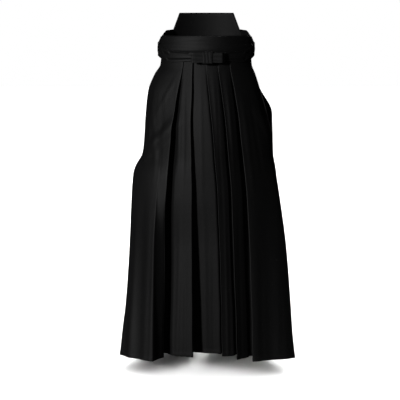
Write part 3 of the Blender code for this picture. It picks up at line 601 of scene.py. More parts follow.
def side_strip(section, goal, ridge):
    """From the side edge over the pressed side crease, and over the knee's ridge if it has one."""
    hull, z = section.hull, section.z
    edge = hull.edge(z)
    crease = edge + at_height(SIDE_CREASE, z)
    lift = -at_height(SIDE_CREASE_LIFT, z)
    section.add([hull.seam_edge(z)])
    for share in spaced(0.0, 1.0, 12)[1:]:
        u = edge + (crease - edge) * share
        section.add([hull.point(u, z, lift * share + hull.fold_over(u, z))])
    if not ridge:
        section.strip((crease, lift), goal, 36)
        return
    crest = (at_height(KNEE_RIDGE_X, z), -at_height(KNEE_RIDGE_LIFT, z))
    section.strip((crease, lift), crest, 24)
    section.add([hull.point(crest[0], z, crest[1])])
    for share in KNEE_RIDGE_SHARES:
        u = crest[0] + (goal[0] - crest[0]) * share
        setback = crest[1] + (goal[1] - crest[1]) * share ** KNEE_RIDGE_FALL
        section.add([hull.point(u, z, setback)])


HULLS = {(back, half): Hull(back, half) for back in (False, True) for half in "rl"}


@functools.lru_cache(maxsize=None)
def front_right(z):
    """Right side seam to the centre seam hidden inside pleat b."""
    section = Section(HULLS[False, "r"], z)
    a_tip, _ = pleat_ends(PLEATS["front_a"], z, False)
    b_tip, _ = pleat_ends(PLEATS["front_b"], z, False)
    side_strip(section, a_tip, True)
    section.fold(PLEATS["front_a"], False, True)
    section.lower_strip(PLEATS["front_a"], False, b_tip, 20)
    section.fold(PLEATS["front_b"], False, False)
    return section


@functools.lru_cache(maxsize=None)
def front_left(z):
    """Left side seam to the centre seam, with pleats e, d and c."""
    section = Section(HULLS[False, "l"], z)
    tips = {name: pleat_ends(PLEATS["front_" + name], z, True)[0] for name in "cde"}
    side_strip(section, tips["e"], False)
    for name, following in (("e", "d"), ("d", "c")):
        pleat = PLEATS["front_" + name]
        section.fold(pleat, True, True)
        section.lower_strip(pleat, True, tips[following], 14)
    section.fold(PLEATS["front_c"], True, True)
    _, seam = pleat_ends(PLEATS["front_b"], z, False)
    parting = at_height(FRONT_PARTING, z)
    back_by = parting * PARTING_DEPTH
    section.lower_strip(PLEATS["front_c"], True, (-seam[0] - parting, seam[1] + back_by), 22)
    sewn_on = front_right(z).points[-1]
    depth = sewn_on.y + SOLID_CLOTH + back_by
    section.add([Vector((-sewn_on.x - parting, depth))], shown=False)
    return section


def back_half(z, side):
    """Side seam to the centre back seam, with the one pleat that each half of the back has."""
    section = Section(HULLS[True, side], z)
    hull = section.hull
    mirrored = side == "l"
    pleat = PLEATS["back_left" if mirrored else "back_right"]
    tip, root = pleat_ends(pleat, z, mirrored)
    edge = hull.edge(z)
    section.add([hull.seam_edge(z)])
    for share in spaced(0.0, 1.0, 74)[1:-1]:
        u = edge + (tip[0] - edge) * share ** 1.2
        section.add([hull.point(u, z, tip[1] * share + hull.fold_over(u, z))])
    section.fold(pleat, mirrored, True, hidden_steps=18)
    goal = (-SEAM_HALF_GAP - at_height(BACK_PARTING, z), root[1])
    section.strip(root, goal, 22)
    section.add([hull.point(goal[0], z, goal[1])])
    return section


@functools.lru_cache(maxsize=None)
def back_right(z):
    return back_half(z, "r")


@functools.lru_cache(maxsize=None)
def back_left(z):
    return back_half(z, "l")


# Where each panel's section lies in the garment's frame: its x and y signs, and its columns
PANELS = {
    "front_right": (front_right, 1, 1),
    "front_left": (front_left, -1, 1),
    "back_right": (back_right, 1, -1),
    "back_left": (back_left, -1, -1),
}


def placed(name, z):
    """One row of a panel, in the garment's frame."""
    make, x_sign, y_sign = PANELS[name]
    return [Vector((p.x * x_sign, p.y * y_sign, z)) for p in make(z).points]


def gusset_row(side, z):
    """Inner leg panel from a front panel's inner edge to a back panel's, bowed to its own leg."""
    half = "right" if side < 0 else "left"
    clear = SOLID_CLOTH + SEAM_GAP / 2
    start = placed("front_" + half, z)[-1]
    start += Vector((0.0, clear, 0.0) if side > 0 else (-clear, 0.0, 0.0))
    end = placed("back_" + half, z)[-1] + Vector((side * CLOTH / 2, -clear, 0.0))
    spread = at_height(CROTCH_SPREAD, z) * side / 2
    row = []
    for share in spaced(0.0, 1.0, 48):
        bow = spread * math.sin(math.pi * share)
        ripple = GUSSET_RIPPLE * math.sin(share * 19 + side + z * 3) * math.sin(math.pi * share)
        ripple *= ease((CROTCH - z) / 0.35)
        row.append(start.lerp(end, share) + Vector((bow + ripple, 0.0, 0.0)))
    return row


def row_heights(top, foot=HEM):
    """The heights of a panel's rows, finer at the turned hem."""
    steps = round((top - HEM_ROWS[0]) / ROW_PITCH)
    rows = spaced(top, HEM_ROWS[0], steps)[:-1] + list(HEM_ROWS)
    return [round(z, 6) for z in rows]


def sheet_mesh(name, rows, closed=False):
    """Quads through equal rows, with a UV map in metres: across the cloth, and down it."""
    points = np.array([[tuple(p) for p in row] for row in rows])
    if closed:
        points = np.concatenate([points, points[:, :1]], axis=1)
    across = np.linalg.norm(np.diff(points, axis=1), axis=2).mean(axis=0)
    down = np.linalg.norm(np.diff(points, axis=0), axis=2).mean(axis=1)
    u = np.concatenate([[0.0], np.cumsum(across)])
    v = -np.concatenate([[0.0], np.cumsum(down)])
    height, width = points.shape[0], points.shape[1]
    count = width - 1 if closed else width
    mesh = bpy.data.meshes.new(name)
    faces, corners = [], []
    for r in range(height - 1):
        for c in range(width - 1):
            after = (c + 1) % count
            here, below = r * count, (r + 1) * count
            faces.append((here + c, here + after, below + after, below + c))
            corners += [(u[c], v[r]), (u[c + 1], v[r]), (u[c + 1], v[r + 1]), (u[c], v[r + 1])]
    mesh.from_pydata(points[:, :count].reshape(-1, 3).tolist(), [], faces)
    layer = mesh.uv_layers.new(name="cloth")
    layer.data.foreach_set("uv", np.array(corners, np.float32).ravel())
    mesh.shade_smooth()
    return mesh


def in_scene(name, data):
    """A new object in the scene."""
    obj = bpy.data.objects.new(name, data)
    bpy.context.scene.collection.objects.link(obj)
    return obj


def cloth_object(name, mesh, thickness, material, soft_edge=0.0):
    """Gives a sheet its thickness, both ways from its middle, and its finish."""
    obj = in_scene(name, mesh)
    obj.data.materials.append(material)
    wall = obj.modifiers.new("wall", "SOLIDIFY")
    wall.thickness = thickness
    wall.offset = 0.0
    wall.use_rim = True
    if soft_edge:
        bevel = obj.modifiers.new("soft edge", "BEVEL")
        bevel.width = soft_edge
        bevel.segments = 2
        bevel.limit_method = "ANGLE"
        bevel.angle_limit = math.radians(60)
    return obj


def paint(mesh, name, values):
    """A number per point, which the material reads."""
    layer = mesh.attributes.new(name, "FLOAT", "POINT")
    layer.data.foreach_set("value", np.array(values, np.float32))


def edge_wear_and_highlight_mask(rows, marks):
    """1 on a pressed edge and fading over a few millimetres, for each point of each row.

    It is the mask of the edges' lighter colour, partly wear and partly a painted highlight,
    and of their gloss.
    """
    points = np.array([[tuple(p) for p in row] for row in rows])
    steps = np.linalg.norm(np.diff(points, axis=1), axis=2)
    along = np.concatenate([np.zeros((len(rows), 1)), np.cumsum(steps, axis=1)], axis=1)
    strength = np.zeros(along.shape)
    for column in marks:
        away = (along - along[:, column : column + 1]) / EDGE_WEAR_AND_HIGHLIGHT_REACH
        strength = np.maximum(strength, np.exp(-away * away))
    return strength


def panel_piece(name, top, material):
    """A cloth panel with its turned hem and its pressed pleat edges."""
    points = []
    for z in row_heights(top):
        row = placed(name, z)
        swell = turned_hem((z - HEM) / HEM_FOLD)
        points.append([p + n * swell for p, n in zip(row, outward(row, name))])
    marks = []
    start = None
    for i, flag in enumerate(PANELS[name][0](top).pressed + [False]):
        if flag and start is None:
            start = i
        elif not flag and start is not None:
            marks.append((start + i) // 2 - 1)
            start = None
    mesh = sheet_mesh(name + "_cloth", points)
    # The "pressed" attribute lightens the pressed edges' colour, partly wear and partly a painted
    # highlight, and makes them glossier
    paint(mesh, "pressed", edge_wear_and_highlight_mask(points, marks).ravel())
    return cloth_object(name + "_cloth", mesh, CLOTH, material), points


def seam_allowance(material):
    """The centre back seam's two allowances, pressed flat inside the cloth, down to the crotch."""
    rows = []
    for z in spaced(BACK_TOP - ALLOWANCE_END, CROTCH + ALLOWANCE_END, 90):
        _, root = pleat_ends(PLEATS["back_right"], z, False)
        inside = root[1] + CLOTH + ALLOWANCE_ROOM
        to_seam = spaced(-ALLOWANCE, -ALLOWANCE_FOLD, 6)
        right = [HULLS[True, "r"].point(u, z, inside) for u in to_seam]
        from_seam = spaced(-ALLOWANCE_FOLD, -ALLOWANCE, 6)
        left = [HULLS[True, "l"].point(u, z, inside) for u in from_seam]
        row = [Vector((p.x, -p.y, z)) for p in right]
        rows.append(row + [Vector((-p.x, -p.y, z)) for p in left])
    mesh = sheet_mesh("back_seam_allowance", rows)
    paint(mesh, "pressed", [0.0] * len(mesh.vertices))
    return cloth_object("back_seam_allowance", mesh, CLOTH, material)


def outward(row, name):
    """The level direction out of the cloth at each point of a panel's row."""
    _, x_sign, y_sign = PANELS[name]
    normals = []
    last = len(row) - 1
    for i in range(len(row)):
        way = row[min(i + 1, last)] - row[max(i - 1, 0)]
        flat = Vector((way.y, -way.x, 0.0)) * (x_sign * y_sign)
        normals.append(flat.normalized() if flat.length > 1e-9 else Vector((0.0, 0.0, 0.0)))
    return normals


def convex_outline(points):
    """The taut line round a set of points, anticlockwise."""
    points = sorted({(round(p.x, 6), round(p.y, 6)) for p in points})

    def chain(run):
        line = []
        for p in run:
            while len(line) > 1:
                (ax, ay), (bx, by) = line[-2], line[-1]
                if (bx - ax) * (p[1] - ay) - (by - ay) * (p[0] - ax) > 0:
                    break
                line.pop()
            line.append(p)
        return line[:-1]

    return chain(points) + chain(points[::-1])


@functools.lru_cache(maxsize=None)
def waist_outline(z):
    """The line a taut tie takes at one height, over the front panels and inside the back ones."""
    points = []
    for half, mirror in (("r", 1), ("l", -1)):
        front, back = HULLS[False, half], HULLS[True, half]
        for share in spaced(0.0, 1.0, 40):
            u = front.edge(z) * math.sin(share * math.pi / 2)
            p = front.point(u, z)
            points.append(Vector((p.x * mirror, p.y)))
            u = back.edge(z) * math.sin(share * math.pi / 2)
            p = back.point(u, z, BACK_ROOM)
            points.append(Vector((p.x * mirror, -p.y)))
    return convex_outline(points)


@functools.lru_cache(maxsize=None)
def on_outline(angle, z):
    """Where a line from the centre meets the outline. Angles grow from the front to the left."""
    dx, dy = math.sin(angle), -math.cos(angle)
    outline = waist_outline(z)
    for (ax, ay), (bx, by) in zip(outline, outline[1:] + outline[:1]):
        ex, ey = bx - ax, by - ay
        turn = dx * ey - dy * ex
        if abs(turn) < 1e-12:
            continue
        reach = (ax * ey - ay * ex) / turn
        share = (ax * dy - ay * dx) / turn
        if reach > 0 and -1e-9 <= share <= 1 + 1e-9:
            return Vector((dx * reach, dy * reach))
    return None


def waist_point(angle, z, offset):
    """A place this far outside the outline."""
    level = round(z, 4)
    ahead = on_outline(angle + OUTLINE_STEP, level)
    behind = on_outline(angle - OUTLINE_STEP, level)
    along = (ahead - behind).normalized()
    flat = on_outline(angle, level) + Vector((along.y, -along.x)) * offset
    return Vector((flat.x, flat.y, z))


def over_run(run, share):
    """0 to 1 as a share goes through a run."""
    return ease((share - run[0]) / (run[1] - run[0]))


def tie_base(angle):
    """How far out the innermost tie lies. It stands off a little at the panels' side edges."""
    off_side = (abs(angle) - PANEL_EDGE_ANGLE) / PANEL_EDGE_SPREAD
    return TIE_BASE + PANEL_EDGE_ROOM * max(0.0, 1 - off_side * off_side)


def upper_turn(angle):
    """The front tie's first turn, highest on the waist."""
    top = UPPER_TURN_TOP - TIE_FALL * ease(abs(angle) / math.pi)
    base = tie_base(angle)
    return (base, top), (base, top - TIE_WIDTH / 2), (base, top - TIE_WIDTH)


def lower_turn(angle):
    """The second turn, whose upper edge lies over the first."""
    top = LOWER_TURN_TOP - TIE_FALL * ease(abs(angle) / math.pi)
    base = tie_base(angle)
    over = base + TIE_STEP
    return (
        (over, top),
        (over, top - LOWER_TURN_LAP),
        (base, top - LOWER_TURN_BEND),
        (base, top - TIE_WIDTH),
    )


def over_turns(angle, z):
    """The least offset at which the back tie clears whatever lies under it."""
    least = tie_base(angle)
    for turn in (upper_turn, lower_turn):
        stations = turn(angle)
        if stations[-1][1] - TIE_EASE <= z <= stations[0][1] + TIE_EASE:
            near = [offset for offset, at in stations if abs(at - z) < TIE_REACH]
            least = max(near, default=stations[1][0]) + TIE_STEP
    return least


def back_tie(angle):
    """Drops from the back board's lower corner to the knot, and is gathered there."""
    share = abs(angle) / BOARD_CORNER_ANGLE
    climb = BACK_TIE_CLIMB * over_run(BACK_TIE_CLIMB_RUN, share)
    gathered = 1 - over_run(GATHERED_RUN, share)
    width = BACK_TIE_WIDTH + (KNOTTED_WIDTH - BACK_TIE_WIDTH) * gathered
    top = BOW_Z + BACK_TIE_KNOT_RISE + climb + width / 2
    behind = over_run(BACK_TIE_REAR_RUN, share)
    over_back = BACK_ROOM + SOLID_CLOTH / 2 + SEAM_GAP * 2 + TIE_SOLID / 2
    stations = []
    for across in spaced(0.0, 1.0, BACK_TIE_ROWS):
        z = top - width * across
        under = over_turns(angle, z)
        stations.append((under + (max(over_back, under) - under) * behind, z))
    return tuple(stations)


def across_tie(stations, share):
    """(offset, z) at a share of a tie's width, on a soft line through its stations."""
    z = stations[0][1] + (stations[-1][1] - stations[0][1]) * share
    for (before, high), (after, low) in zip(stations, stations[1:]):
        if z >= low - 1e-9:
            return before + (after - before) * ease((high - z) / (high - low)), z
    return stations[-1]


def tie_crease(angle, share, seed, gathered):
    """Lengthwise creases of a tie that is pulled tight, deeper where it is gathered."""
    pull = TIE_PULL + GATHERED_PULL * gathered
    crease = math.sin(share * 17 + 1.6 * math.sin(angle * 2.3 + seed) + seed)
    slack = noise.noise(Vector((angle * 2.1, share * 1.3, seed)))
    return pull * crease + TIE_SLACK * slack


def tie_piece(name, angles, profile, material, seed, end):
    """A tie laid round the waist. end is the column that is sewn on, or None for a ring."""
    columns = []
    for angle in angles:
        stations = profile(angle)
        near_knot = math.exp(-(angle / GATHERED_SPREAD) ** 2) if end else 0.0
        column = []
        for share in TIE_SHARES:
            offset, z = across_tie(stations, share)
            raised = tie_crease(angle, share, seed, near_knot)
            column.append(waist_point(angle, z, offset + raised))
        columns.append(column)
    if end:
        last = columns[-1]
        for step in (0.35, 0.7, 1.0):
            columns.append([a.lerp(b, step) for a, b in zip(last, end)])
    rows = [list(row) for row in zip(*columns)]
    if angles[0] > angles[-1]:
        rows = [row[::-1] for row in rows]
    mesh = sheet_mesh(name, rows, closed=not end)
    return cloth_object(name, mesh, TIE_CLOTH, material, TIE_SOFT_EDGE), columns


TIE_SHARES = tuple(
    [0.0, 0.03, 0.07, 0.12] + spaced(0.18, 0.82, 10) + [0.88, 0.93, 0.97, 1.0]
)


def board_width(share):
    return BOARD_FOOT_WIDTH + (BOARD_HEAD_WIDTH - BOARD_FOOT_WIDTH) * share


def board_point(across, share):
    """The middle of the board, where across is -0.5 at its right side and 0.5 at its left."""
    u = board_width(share) * across
    setback = -(SOLID_CLOTH / 2 + BOARD_GAP + BOARD_THICKNESS / 2)
    flat = HULLS[True, "r"].point(-abs(u), BOARD_FOOT, setback)
    x = flat.x if u <= 0 else -flat.x
    return Vector((x, -flat.y - BOARD_LEAN * share, BOARD_FOOT + BOARD_HEIGHT * share))


def back_tie_end(side):
    """The tie's sewn end, a seam's gap off the back board's slanted side."""
    column = []
    for across in TIE_SHARES:
        z = BACK_TIE_END_Z + BACK_TIE_WIDTH * (0.5 - across)
        share = max((z - BOARD_FOOT) / BOARD_HEIGHT, 0.0)
        edge, inner = board_point(-0.5, share), board_point(-0.46, share)
        p = edge + (edge - inner).normalized() * BOARD_SEAM
        column.append(Vector((-p.x * side, p.y, z)))
    return column


def board_piece(material):
    """The stiff board in its cloth, with the cloth's turned edges and a softly rounded rim."""
    rows = []
    for share in spaced(0.0, 1.0, 36):
        row = []
        to_end = min(share * BOARD_HEIGHT, (1 - share) * BOARD_HEIGHT)
        for across in spaced(-0.5, 0.5, 72):
            to_edge = min((0.5 - abs(across)) * board_width(share), to_end)
            out = turned_hem(to_edge / BOARD_HEM) * BOARD_HEM_RAISE
            row.append(board_point(across, share) + Vector((0.0, out, 0.0)))
        rows.append(row)
    mesh = sheet_mesh("back_board_cover", rows[::-1])
    return cloth_object("back_board_cover", mesh, BOARD_COVER, material, BOARD_SOFT_EDGE)


def bar_line(nearest):
    """The bar's zigzag, seen from above, from the layer nearest the waist outwards."""
    line = []
    for layer in range(BOW_LAYERS):
        way = 1 if layer % 2 == 0 else -1
        y = nearest - layer * BOW_PITCH
        half = (BOW_WIDTH - BOW_PITCH) / 2 - BOW_LAYER_STEP * layer
        line += [Vector((BOW_X + way * x, y)) for x in spaced(-half, half, 30)]
        if layer == BOW_LAYERS - 1:
            break
        for a in spaced(0.0, math.pi, 8)[1:-1]:
            reach = half + math.sin(a) * BOW_PITCH / 2
            line.append(Vector((BOW_X + way * reach, y - (1 - math.cos(a)) * BOW_PITCH / 2)))
    return line


def wrap_ring(behind, ahead, top, foot):
    """The turn's rounded rectangle round the bar, as (y, z) points."""
    ring = []
    for y, z, start in (
        (behind - WRAP_CORNER, top - WRAP_CORNER, 0.0),
        (ahead + WRAP_CORNER, top - WRAP_CORNER, 0.5),
        (ahead + WRAP_CORNER, foot + WRAP_CORNER, 1.0),
        (behind - WRAP_CORNER, foot + WRAP_CORNER, 1.5),
    ):
        for a in spaced(start * math.pi, (start + 0.5) * math.pi, 6):
            ring.append(Vector((y + WRAP_CORNER * math.cos(a), z + WRAP_CORNER * math.sin(a))))
    full = []
    for here, after in zip(ring, ring[1:] + ring[:1]):
        steps = max(1, round((after - here).length / WRAP_STEP))
        full += [here.lerp(after, i / steps) for i in range(steps)]
    return full


def pinched(away, spread):
    """How narrow the bow is near its middle, as a share of its width."""
    return 1 - BOW_PINCH * math.exp(-((away / spread) ** 2))


def bow_pieces(material):
    """The back ties' ends, folded to a flat bar, and the turn that holds the bar's middle."""
    laid_on = min(waist_point(0.0, z, offset).y for offset, z in back_tie(BACK_TIE_START))
    nearest = laid_on - TIE_SOLID - BOW_ROOM - BOW_PITCH
    line = bar_line(nearest)
    rows = []
    for share in spaced(0.5, -0.5, 16):
        row = []
        for i, p in enumerate(line):
            crease = BAR_CREASE * math.sin(share * 15 + p.x * 22 + i * 0.004)
            z = BOW_Z + share * BOW_HEIGHT * pinched(p.x - BOW_X, BAR_PINCH_SPREAD)
            row.append(Vector((p.x, p.y + crease, z)))
        rows.append(row)
    mesh = sheet_mesh("bow_bar_cloth", rows)
    bar = cloth_object("bow_bar_cloth", mesh, TIE_CLOTH, material, TIE_SOFT_EDGE)
    reach = TIE_SOLID + BOW_ROOM
    rise = BOW_HEIGHT / 2 + BOW_ROOM + TIE_SOLID / 2
    ahead = nearest - (BOW_LAYERS - 1) * BOW_PITCH - reach
    ring = wrap_ring(nearest + reach, ahead, BOW_Z + rise, BOW_Z - rise)
    rows = []
    for share in spaced(-0.5, 0.5, 14):
        row = []
        for p in ring:
            crease = WRAP_CREASE * math.sin(share * 19 + p.y * 60)
            x = BOW_X + share * BOW_WRAP_WIDTH * pinched(p.y - BOW_Z, WRAP_PINCH_SPREAD)
            row.append(Vector((x, p.x + crease, p.y)))
        rows.append(row)
    mesh = sheet_mesh("bow_wrap_cloth", rows, closed=True)
    wrap = cloth_object("bow_wrap_cloth", mesh, TIE_CLOTH, material, TIE_SOFT_EDGE)
    return bar, wrap


def feed(tree, socket, value):
    """Links a Number or another node's socket to a socket, or sets the socket to a plain value."""
    if isinstance(value, Number):
        value = value.socket
    if isinstance(value, bpy.types.NodeSocket):
        tree.links.new(value, socket)
    else:
        socket.default_value = value


class Number:
    """A number that changes over a surface. Arithmetic on it adds Math nodes."""

    def __init__(self, finish, socket):
        self.finish = finish
        self.socket = socket

    def math(self, operation, *others):
        return self.finish.node("ShaderNodeMath", {"operation": operation}, [self, *others])

    def __add__(self, other):
        return self.math("ADD", other)

    __radd__ = __add__

    def __mul__(self, other):
        return self.math("MULTIPLY", other)

    def __sub__(self, other):
        return self.math("SUBTRACT", other)

    def sine(self):
        return self.math("SINE")

    def clamped(self):
        return self.math("MAXIMUM", 0.0).math("MINIMUM", 1.0)


class Finish:
    """A material under construction."""

    def __init__(self, name):
        self.material = bpy.data.materials.new(name)
        self.material.use_nodes = True
        self.tree = self.material.node_tree
        self.shader = self.tree.nodes["Principled BSDF"]

    def node(self, kind, settings, inputs, output=0):
        """Adds a node. inputs has values and Numbers, in socket order or by socket."""
        made = self.tree.nodes.new(kind)
        for key, value in settings.items():
            setattr(made, key, value)
        pairs = inputs.items() if isinstance(inputs, dict) else enumerate(inputs)
        for key, value in pairs:
            feed(self.tree, made.inputs[key], value)
        return Number(self, made.outputs[output])

    def place(self):
        """The place on the piece, in metres."""
        return self.node("ShaderNodeTexCoord", {}, {}, output="Object")

    def set(self, **values):
        """Sets or links the shader's own sockets. An underscore stands for a space."""
        for key, value in values.items():
            feed(self.tree, self.shader.inputs[key.replace("_", " ")], value)

    def mix(self, share, first, second):
        """A colour between two."""
        inputs = {0: share, 6: first, 7: second}
        return self.node("ShaderNodeMix", {"data_type": "RGBA"}, inputs, output=2)

    def noise(self, vector, stretch, detail):
        """Even noise from 0 to 1 on a vector that is stretched first."""
        scaled = self.node("ShaderNodeVectorMath", {"operation": "MULTIPLY"}, [vector, stretch])
        inputs = {"Vector": scaled, "Scale": 1.0, "Detail": detail}
        return self.node("ShaderNodeTexNoise", {}, inputs)

    def bump(self, strength, height):
        """The shading of a relief whose height is in metres."""
        inputs = {"Strength": strength, "Distance": 1.0, "Height": height}
        return self.node("ShaderNodeBump", {}, inputs)


def cloth_finish(name, dark, light, roughness, thread, pressed):
    """Closely woven matt black cloth: fine ribs, lengthwise grain, soft clouds and lint.

    Its pressed edges, if it has them, are glossier and lighter, partly by wear and partly by
    a painted highlight.
    """
    finish = Finish(name)
    uv = finish.node("ShaderNodeUVMap", {"uv_map": "cloth"}, {})
    place = finish.place()
    u = finish.node("ShaderNodeSeparateXYZ", {}, [uv], output=0)
    v = finish.node("ShaderNodeSeparateXYZ", {}, [uv], output=1)
    turns = 2 * math.pi / thread
    weave = (u * turns).sine() * (v * turns).sine()
    grain = finish.noise(uv, (620.0, 9.0, 1.0), 3.0)
    slub = finish.noise(uv, (14.0, 380.0, 1.0), 2.0)
    cloud = finish.noise(place, (7.0, 7.0, 4.0), 3.0)
    lint = finish.noise(place, (310.0, 310.0, 310.0), 1.0)
    lint = ((lint - 0.735) * 22.0).clamped()
    tone = (grain - 0.5) * 0.9 + (slub - 0.5) * 0.35 + (cloud - 0.5) * 1.0 + 0.42
    rough = roughness + (grain - 0.5) * 0.10
    # Pressed edges: a lighter colour, partly wear and partly a painted highlight, and a lower
    # roughness, their real gloss
    if pressed:
        edge = finish.node("ShaderNodeAttribute", {"attribute_name": "pressed"}, {}, output="Fac")
        tone = tone + edge * 0.45
        rough = rough - edge * 0.08
    colour = finish.mix(tone.clamped(), dark, light)
    colour = finish.mix(lint * 0.5, colour, (0.075, 0.074, 0.072, 1.0))
    height = weave * 0.00007 + (grain - 0.5) * 0.00020 + (slub - 0.5) * 0.00010 + lint * 0.0002
    finish.set(Base_Color=colour, Roughness=rough.clamped(), Normal=finish.bump(0.65, height))
    finish.set(Sheen_Weight=0.03, Sheen_Roughness=0.45, Specular_IOR_Level=0.36)
    return finish.material


def thread_finish():
    """Black sewing thread with a slight twist and gloss."""
    finish = Finish("black sewing thread")
    fibre = finish.noise(finish.place(), (900.0, 900.0, 1700.0), 2.0)
    colour = finish.mix(fibre, (0.010, 0.010, 0.011, 1.0), (0.040, 0.040, 0.042, 1.0))
    bump = finish.bump(0.5, fibre * 0.0002)
    finish.set(Base_Color=colour, Roughness=0.55, Normal=bump, Specular_IOR_Level=0.45)
    return finish.material


def floor_finish():
    """A plain pale studio floor with the faintest mottle."""
    finish = Finish("pale floor")
    mottle = finish.noise(finish.place(), (3.0, 3.0, 3.0), 4.0)
    colour = finish.mix(mottle, (0.80, 0.80, 0.80, 1.0), (0.86, 0.86, 0.855, 1.0))
    finish.set(Base_Color=colour, Roughness=0.7)
    return finish.material


# Each cloth piece as cut: its width and length, its area, how it is held, and by what
CUTS = {
    "front_right": (0.400, 0.980, 0.305, "hung", ("front_tie_upper_turn", "front_tie_lower_turn")),
    "front_left": (0.580, 0.980, 0.484, "hung", ("front_tie_upper_turn", "front_tie_lower_turn")),
    "back_right": (0.541, 0.985, 0.399, "hung", ("back_board", "front_right")),
    "back_left": (0.570, 1.000, 0.418, "hung", ("back_board", "front_left")),
    "gusset_right": (0.257, 0.457, 0.112, "hung", ("front_right", "back_right")),
    "gusset_left": (0.254, 0.457, 0.108, "hung", ("front_left", "back_left")),
    "front_tie_upper_turn": (0.781, 0.036, 0.028, "stretched", ("front_right", "front_left")),
    "front_tie_lower_turn": (0.800, 0.037, 0.029, "stretched", ("front_right", "front_left")),
    "back_tie_right": (0.315, 0.040, 0.0103, "stretched", ("front_tie_lower_turn", "back_board")),
    "back_tie_left": (0.312, 0.040, 0.0101, "stretched", ("front_tie_lower_turn", "back_board")),
    "bow_bar": (0.368, 0.030, 0.0106, "folded", ("back_tie_right", "back_tie_left")),
    "bow_wrap": (0.091, 0.030, 0.0026, "folded", ("bow_bar",)),
}


def stitch_tree():
    """Geometry Nodes: short stitches along the lines of a mesh, lying on the cloth's surface.

    The lines' points carry the direction out of the cloth, which turns each stitch flat on it.
    """
    tree = bpy.data.node_groups.new("row of stitches", "GeometryNodeTree")
    face = tree.interface
    face.new_socket("Lines", in_out="INPUT", socket_type="NodeSocketGeometry")
    for name in ("Pitch", "Length", "Gauge"):
        face.new_socket(name, in_out="INPUT", socket_type="NodeSocketFloat")
    face.new_socket("Thread", in_out="INPUT", socket_type="NodeSocketMaterial")
    face.new_socket("Stitches", in_out="OUTPUT", socket_type="NodeSocketGeometry")

    def node(kind, inputs, **settings):
        made = tree.nodes.new(kind)
        for key, value in settings.items():
            setattr(made, key, value)
        for key, value in inputs.items():
            feed(tree, made.inputs[key], value)
        return made.outputs

    given = node("NodeGroupInput", {})
    curve = node("GeometryNodeMeshToCurve", {"Mesh": given["Lines"]})["Curve"]
    inputs = {"Curve": curve, "Length": given["Pitch"]}
    places = node("GeometryNodeResampleCurve", inputs, mode="LENGTH")["Curve"]
    out = node("GeometryNodeInputNamedAttribute", {"Name": "out"}, data_type="FLOAT_VECTOR")
    inputs = {"Vector": out["Attribute"]}
    upright = node("FunctionNodeAlignRotationToVector", inputs, axis="Z")["Rotation"]
    inputs = {"Rotation": upright, "Vector": node("GeometryNodeInputTangent", {})["Tangent"]}
    turned = node("FunctionNodeAlignRotationToVector", inputs, axis="X", pivot_axis="Z")
    inputs = {"Min": STITCH_SHORTEST, "Max": STITCH_LONGEST, "Seed": 11}
    uneven = node("FunctionNodeRandomValue", inputs, data_type="FLOAT")[1]
    length = node("ShaderNodeMath", {0: given["Length"], 1: uneven}, operation="MULTIPLY")[0]
    inputs = {0: given["Gauge"], 1: STITCH_FLAT}
    height = node("ShaderNodeMath", inputs, operation="MULTIPLY")[0]
    inputs = {"X": length, "Y": given["Gauge"], "Z": height}
    size = node("ShaderNodeCombineXYZ", inputs)["Vector"]
    ball = node("GeometryNodeMeshIcoSphere", {"Radius": 0.5, "Subdivisions": 1})["Mesh"]
    inputs = {
        "Points": places, "Instance": ball, "Rotation": turned["Rotation"], "Scale": size,
    }
    laid = node("GeometryNodeInstanceOnPoints", inputs)["Instances"]
    plain = node("GeometryNodeRealizeInstances", {"Geometry": laid})["Geometry"]
    inputs = {"Geometry": plain, "Material": given["Thread"]}
    sewn = node("GeometryNodeSetMaterial", inputs)["Geometry"]
    node("NodeGroupOutput", {"Stitches": sewn})
    return tree


def stitches(name, lines, tree, thread):
    """A piece of stitches along several lines of (point, direction out of the cloth)."""
    points, outs, edges = [], [], []
    for line in lines:
        edges += [(len(points) + i, len(points) + i + 1) for i in range(len(line) - 1)]
        points += [tuple(p) for p, _ in line]
        outs += [tuple(n) for _, n in line]
    mesh = bpy.data.meshes.new(name)
    mesh.from_pydata(points, edges, [])
    layer = mesh.attributes.new("out", "FLOAT_VECTOR", "POINT")
    layer.data.foreach_set("vector", np.array(outs, np.float32).ravel())
    obj = in_scene(name, mesh)
    modifier = obj.modifiers.new("stitches", "NODES")
    modifier.node_group = tree
    values = {"Thread": thread, **STITCH}
    for item in tree.interface.items_tree:
        if item.in_out == "INPUT" and item.name in values:
            modifier[item.identifier] = values[item.name]
    graph = bpy.context.evaluated_depsgraph_get()
    plain = bpy.data.meshes.new_from_object(obj.evaluated_get(graph))
    obj.modifiers.clear()
    obj.data = plain
    plain.shade_smooth()
    return obj


def hem_lines(name, top, rows):
    """The stitched line of a panel's hem, over each strip that shows."""
    away = [abs(HEM + HEM_FOLD - z) for z in row_heights(top)]
    row = rows[away.index(min(away))]
    shown = PANELS[name][0](HEM).shown
    lines, line = [], []
    for p, n, seen in zip(row, outward(row, name), shown):
        if seen:
            line.append((p + n * (CLOTH / 2), n))
        elif line:
            lines.append(line)
            line = []
    return [line for line in lines + [line] if len(line) > 3]


def slit_line(name, top, rows):
    """The stitched line beside a panel's open side edge, down to the slit's foot."""
    foot = SLIT_FOOT["r" if "right" in name else "l"] + SLIT_STITCH_FOOT
    line = []
    for z, row in zip(row_heights(top), rows):
        if foot <= z <= SLIT_STITCH_TOP:
            away = np.cumsum([0.0] + [(b - a).length for a, b in zip(row, row[1:16])])
            column = int(np.argmin(abs(away - SLIT_FOLD)))
            n = outward(row, name)[column]
            line.append((row[column] + n * (CLOTH / 2 + SLIT_STITCH_RISE), n))
    return line


